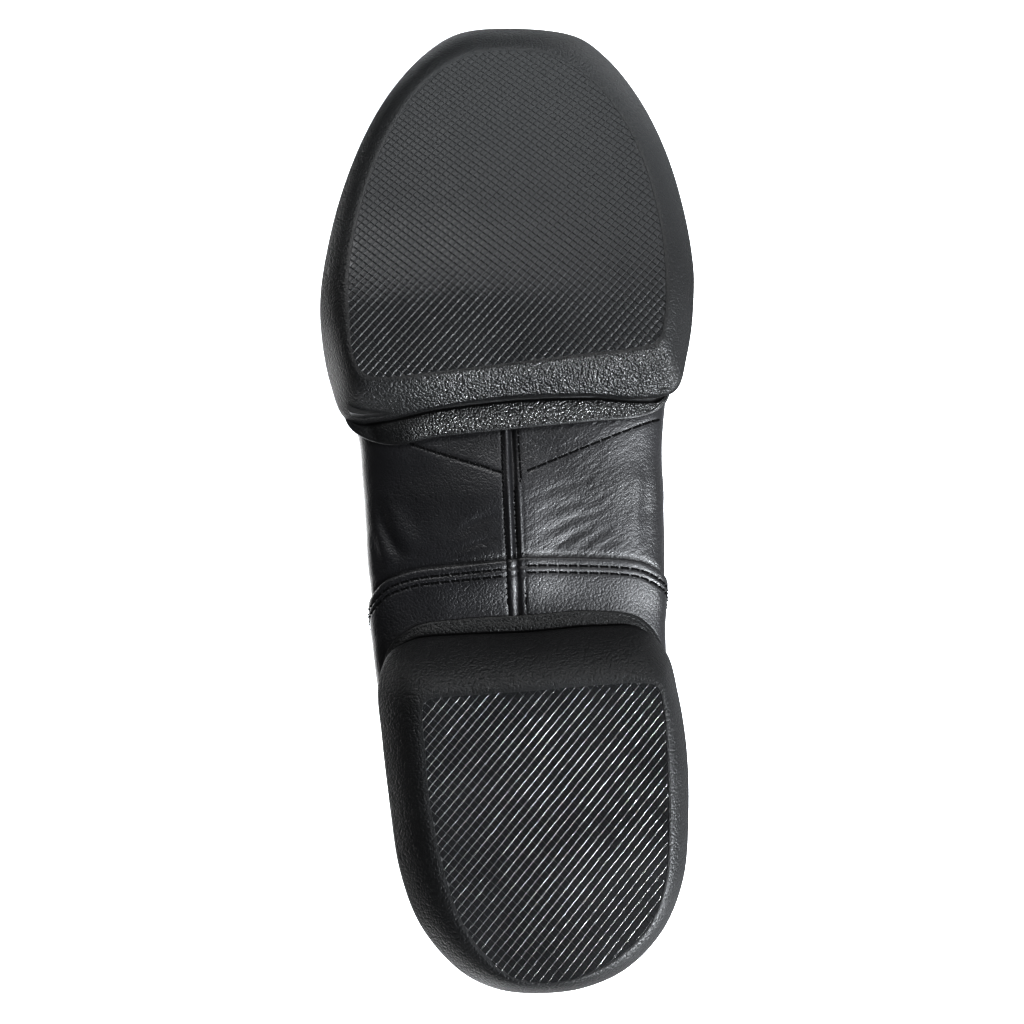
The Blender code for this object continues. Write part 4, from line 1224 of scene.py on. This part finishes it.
def make_room():
    """A plain white room with a round foot: what the camera sees as floor and background."""
    profile = [(0.5, 0.0), (1.4, 0.0), (2.2, 0.0)] + [(2.2 + 0.6 * math.sin(a), 0.6 - 0.6 * math.cos(a)) for a in np.linspace(0, math.pi / 2, 10)[1:]]
    profile += [(2.8 * math.cos(a), 0.6 + 2.2 * math.sin(a)) for a in np.linspace(0, math.pi / 2, 16)[1:-1]]
    turns = np.arange(64) / 64 * 2 * math.pi
    points = [(r * math.cos(a), r * math.sin(a), z) for r, z in profile for a in turns]
    ids = np.arange(len(points)).reshape(len(profile), 64)
    ids = np.concatenate([ids, ids[:, :1]], axis=1)
    faces = [tuple(f) for f in grid_faces(ids)]
    n = len(points)
    points += [(0.0, 0.0, 0.0), (0.0, 0.0, 2.8)]
    faces += [(n, b, a) for a, b in zip(ids[0], ids[0, 1:])] + [(n + 1, a, b) for a, b in zip(ids[-1], ids[-1, 1:])]
    room = glow_material("room_white", (((0.0, 1.0), ROOM_GLOW, ROOM_GLOW),))
    room.cycles.emission_sampling = "NONE"
    obj = add_stage("room", points, faces, (room,))
    obj.visible_diffuse = obj.visible_glossy = obj.visible_transmission = False


def area_light(name, place, aim, size, power, colour=(1, 1, 1), spread=180.0):
    light = bpy.data.lights.new(name, "AREA")
    light.shape = "RECTANGLE"
    light.size, light.size_y = size
    light.energy = power
    light.color = colour
    light.spread = math.radians(spread)
    obj = bpy.data.objects.new(name, light)
    obj.location = place
    obj.rotation_euler = (Vector(aim) - Vector(place)).to_track_quat("-Z", "Y").to_euler()
    obj.visible_camera = False
    light.cycles.use_multiple_importance_sampling = place[2] > 0
    bpy.context.scene.collection.objects.link(obj)


BACKDROP_HEIGHT, BACKDROP_GLOW, ROOM_GLOW = 0.62, 3.2, 1.3
FLOOR_GLOW, FRONT_GLOW, BEHIND_GLOW, GLOW_EDGE, BEHIND_EDGE = 1.35, 0.05, 0.12, (-0.212, -0.187), (-0.07, 0.01)
make_sweep()
make_room()
KEY_AIM, KEY_COLOUR = (0.0, -0.02, 0.045), (0.95, 0.975, 1.0)
area_light("key", (-0.11, -0.504, -0.187), KEY_AIM, (0.22, 0.22), 1.6, KEY_COLOUR)
area_light("key_low", (-0.341, -0.268, -0.307), KEY_AIM, (0.22, 0.22), 6.3, KEY_COLOUR)
area_light("key_heel", (-0.365, -0.405, -0.056), KEY_AIM, (0.22, 0.22), 1.9, KEY_COLOUR)
area_light("key_fore", (-0.147, -0.364, -0.344), (0.045, -0.03, 0.047), (0.22, 0.22), 0.9, KEY_COLOUR)
area_light("fill_toe", (0.45, -0.53, 0.30), (0.05, 0.0, 0.045), (0.26, 0.5), 3.8)
area_light("rim", (0.24, -0.24, 0.42), (0.06, -0.02, 0.07), (0.2, 0.2), 0.2)
area_light("top_back", (0.10, 0.55, 0.66), (0.0, 0.0, 0.05), (1.0, 0.6), 6.5)
area_light("heel_back", (-0.62, 0.36, 0.42), (-0.05, 0.0, 0.05), (0.5, 0.5), 3.0)

world = bpy.data.worlds.new("studio")
bpy.context.scene.world = world
world.use_nodes = True
world.node_tree.nodes["Background"].inputs["Color"].default_value = (0.92, 0.95, 1.0, 1)
world.node_tree.nodes["Background"].inputs["Strength"].default_value = 0.04

CAMERA_TILT, CAMERA_ROLL, CAMERA_DISTANCE, CAMERA_PIXELS = 12.0, -2.0, 308.75, 1250.0
tilt, roll = math.radians(CAMERA_TILT), math.radians(CAMERA_ROLL)
back = Vector((0, -math.sin(tilt), -math.cos(tilt)))
up0 = Vector((0, math.cos(tilt), -math.sin(tilt)))
right0 = (-back).cross(up0)
up = math.cos(roll) * up0 - math.sin(roll) * right0
right = (-back).cross(up)
turn = LYING.to_3x3()
camera = bpy.data.cameras.new("camera")
camera.sensor_width = 36.0
camera.lens = CAMERA_PIXELS / 1024 * 36.0
camera.clip_start = 0.01
camera_obj = bpy.data.objects.new("camera", camera)
x, y, z = turn @ right, turn @ up, turn @ back
place = LYING @ (back * CAMERA_DISTANCE * 0.001)
camera_obj.matrix_world = Matrix(
    ((x[0], y[0], z[0], place[0]), (x[1], y[1], z[1], place[1]), (x[2], y[2], z[2], place[2]), (0, 0, 0, 1))
)
bpy.context.scene.collection.objects.link(camera_obj)
bpy.context.scene.camera = camera_obj
bpy.context.scene.view_settings.view_transform = "Standard"
bpy.context.scene.view_settings.look = "None"
bpy.context.scene.view_settings.gamma = 0.65  # the photograph's deep blacks
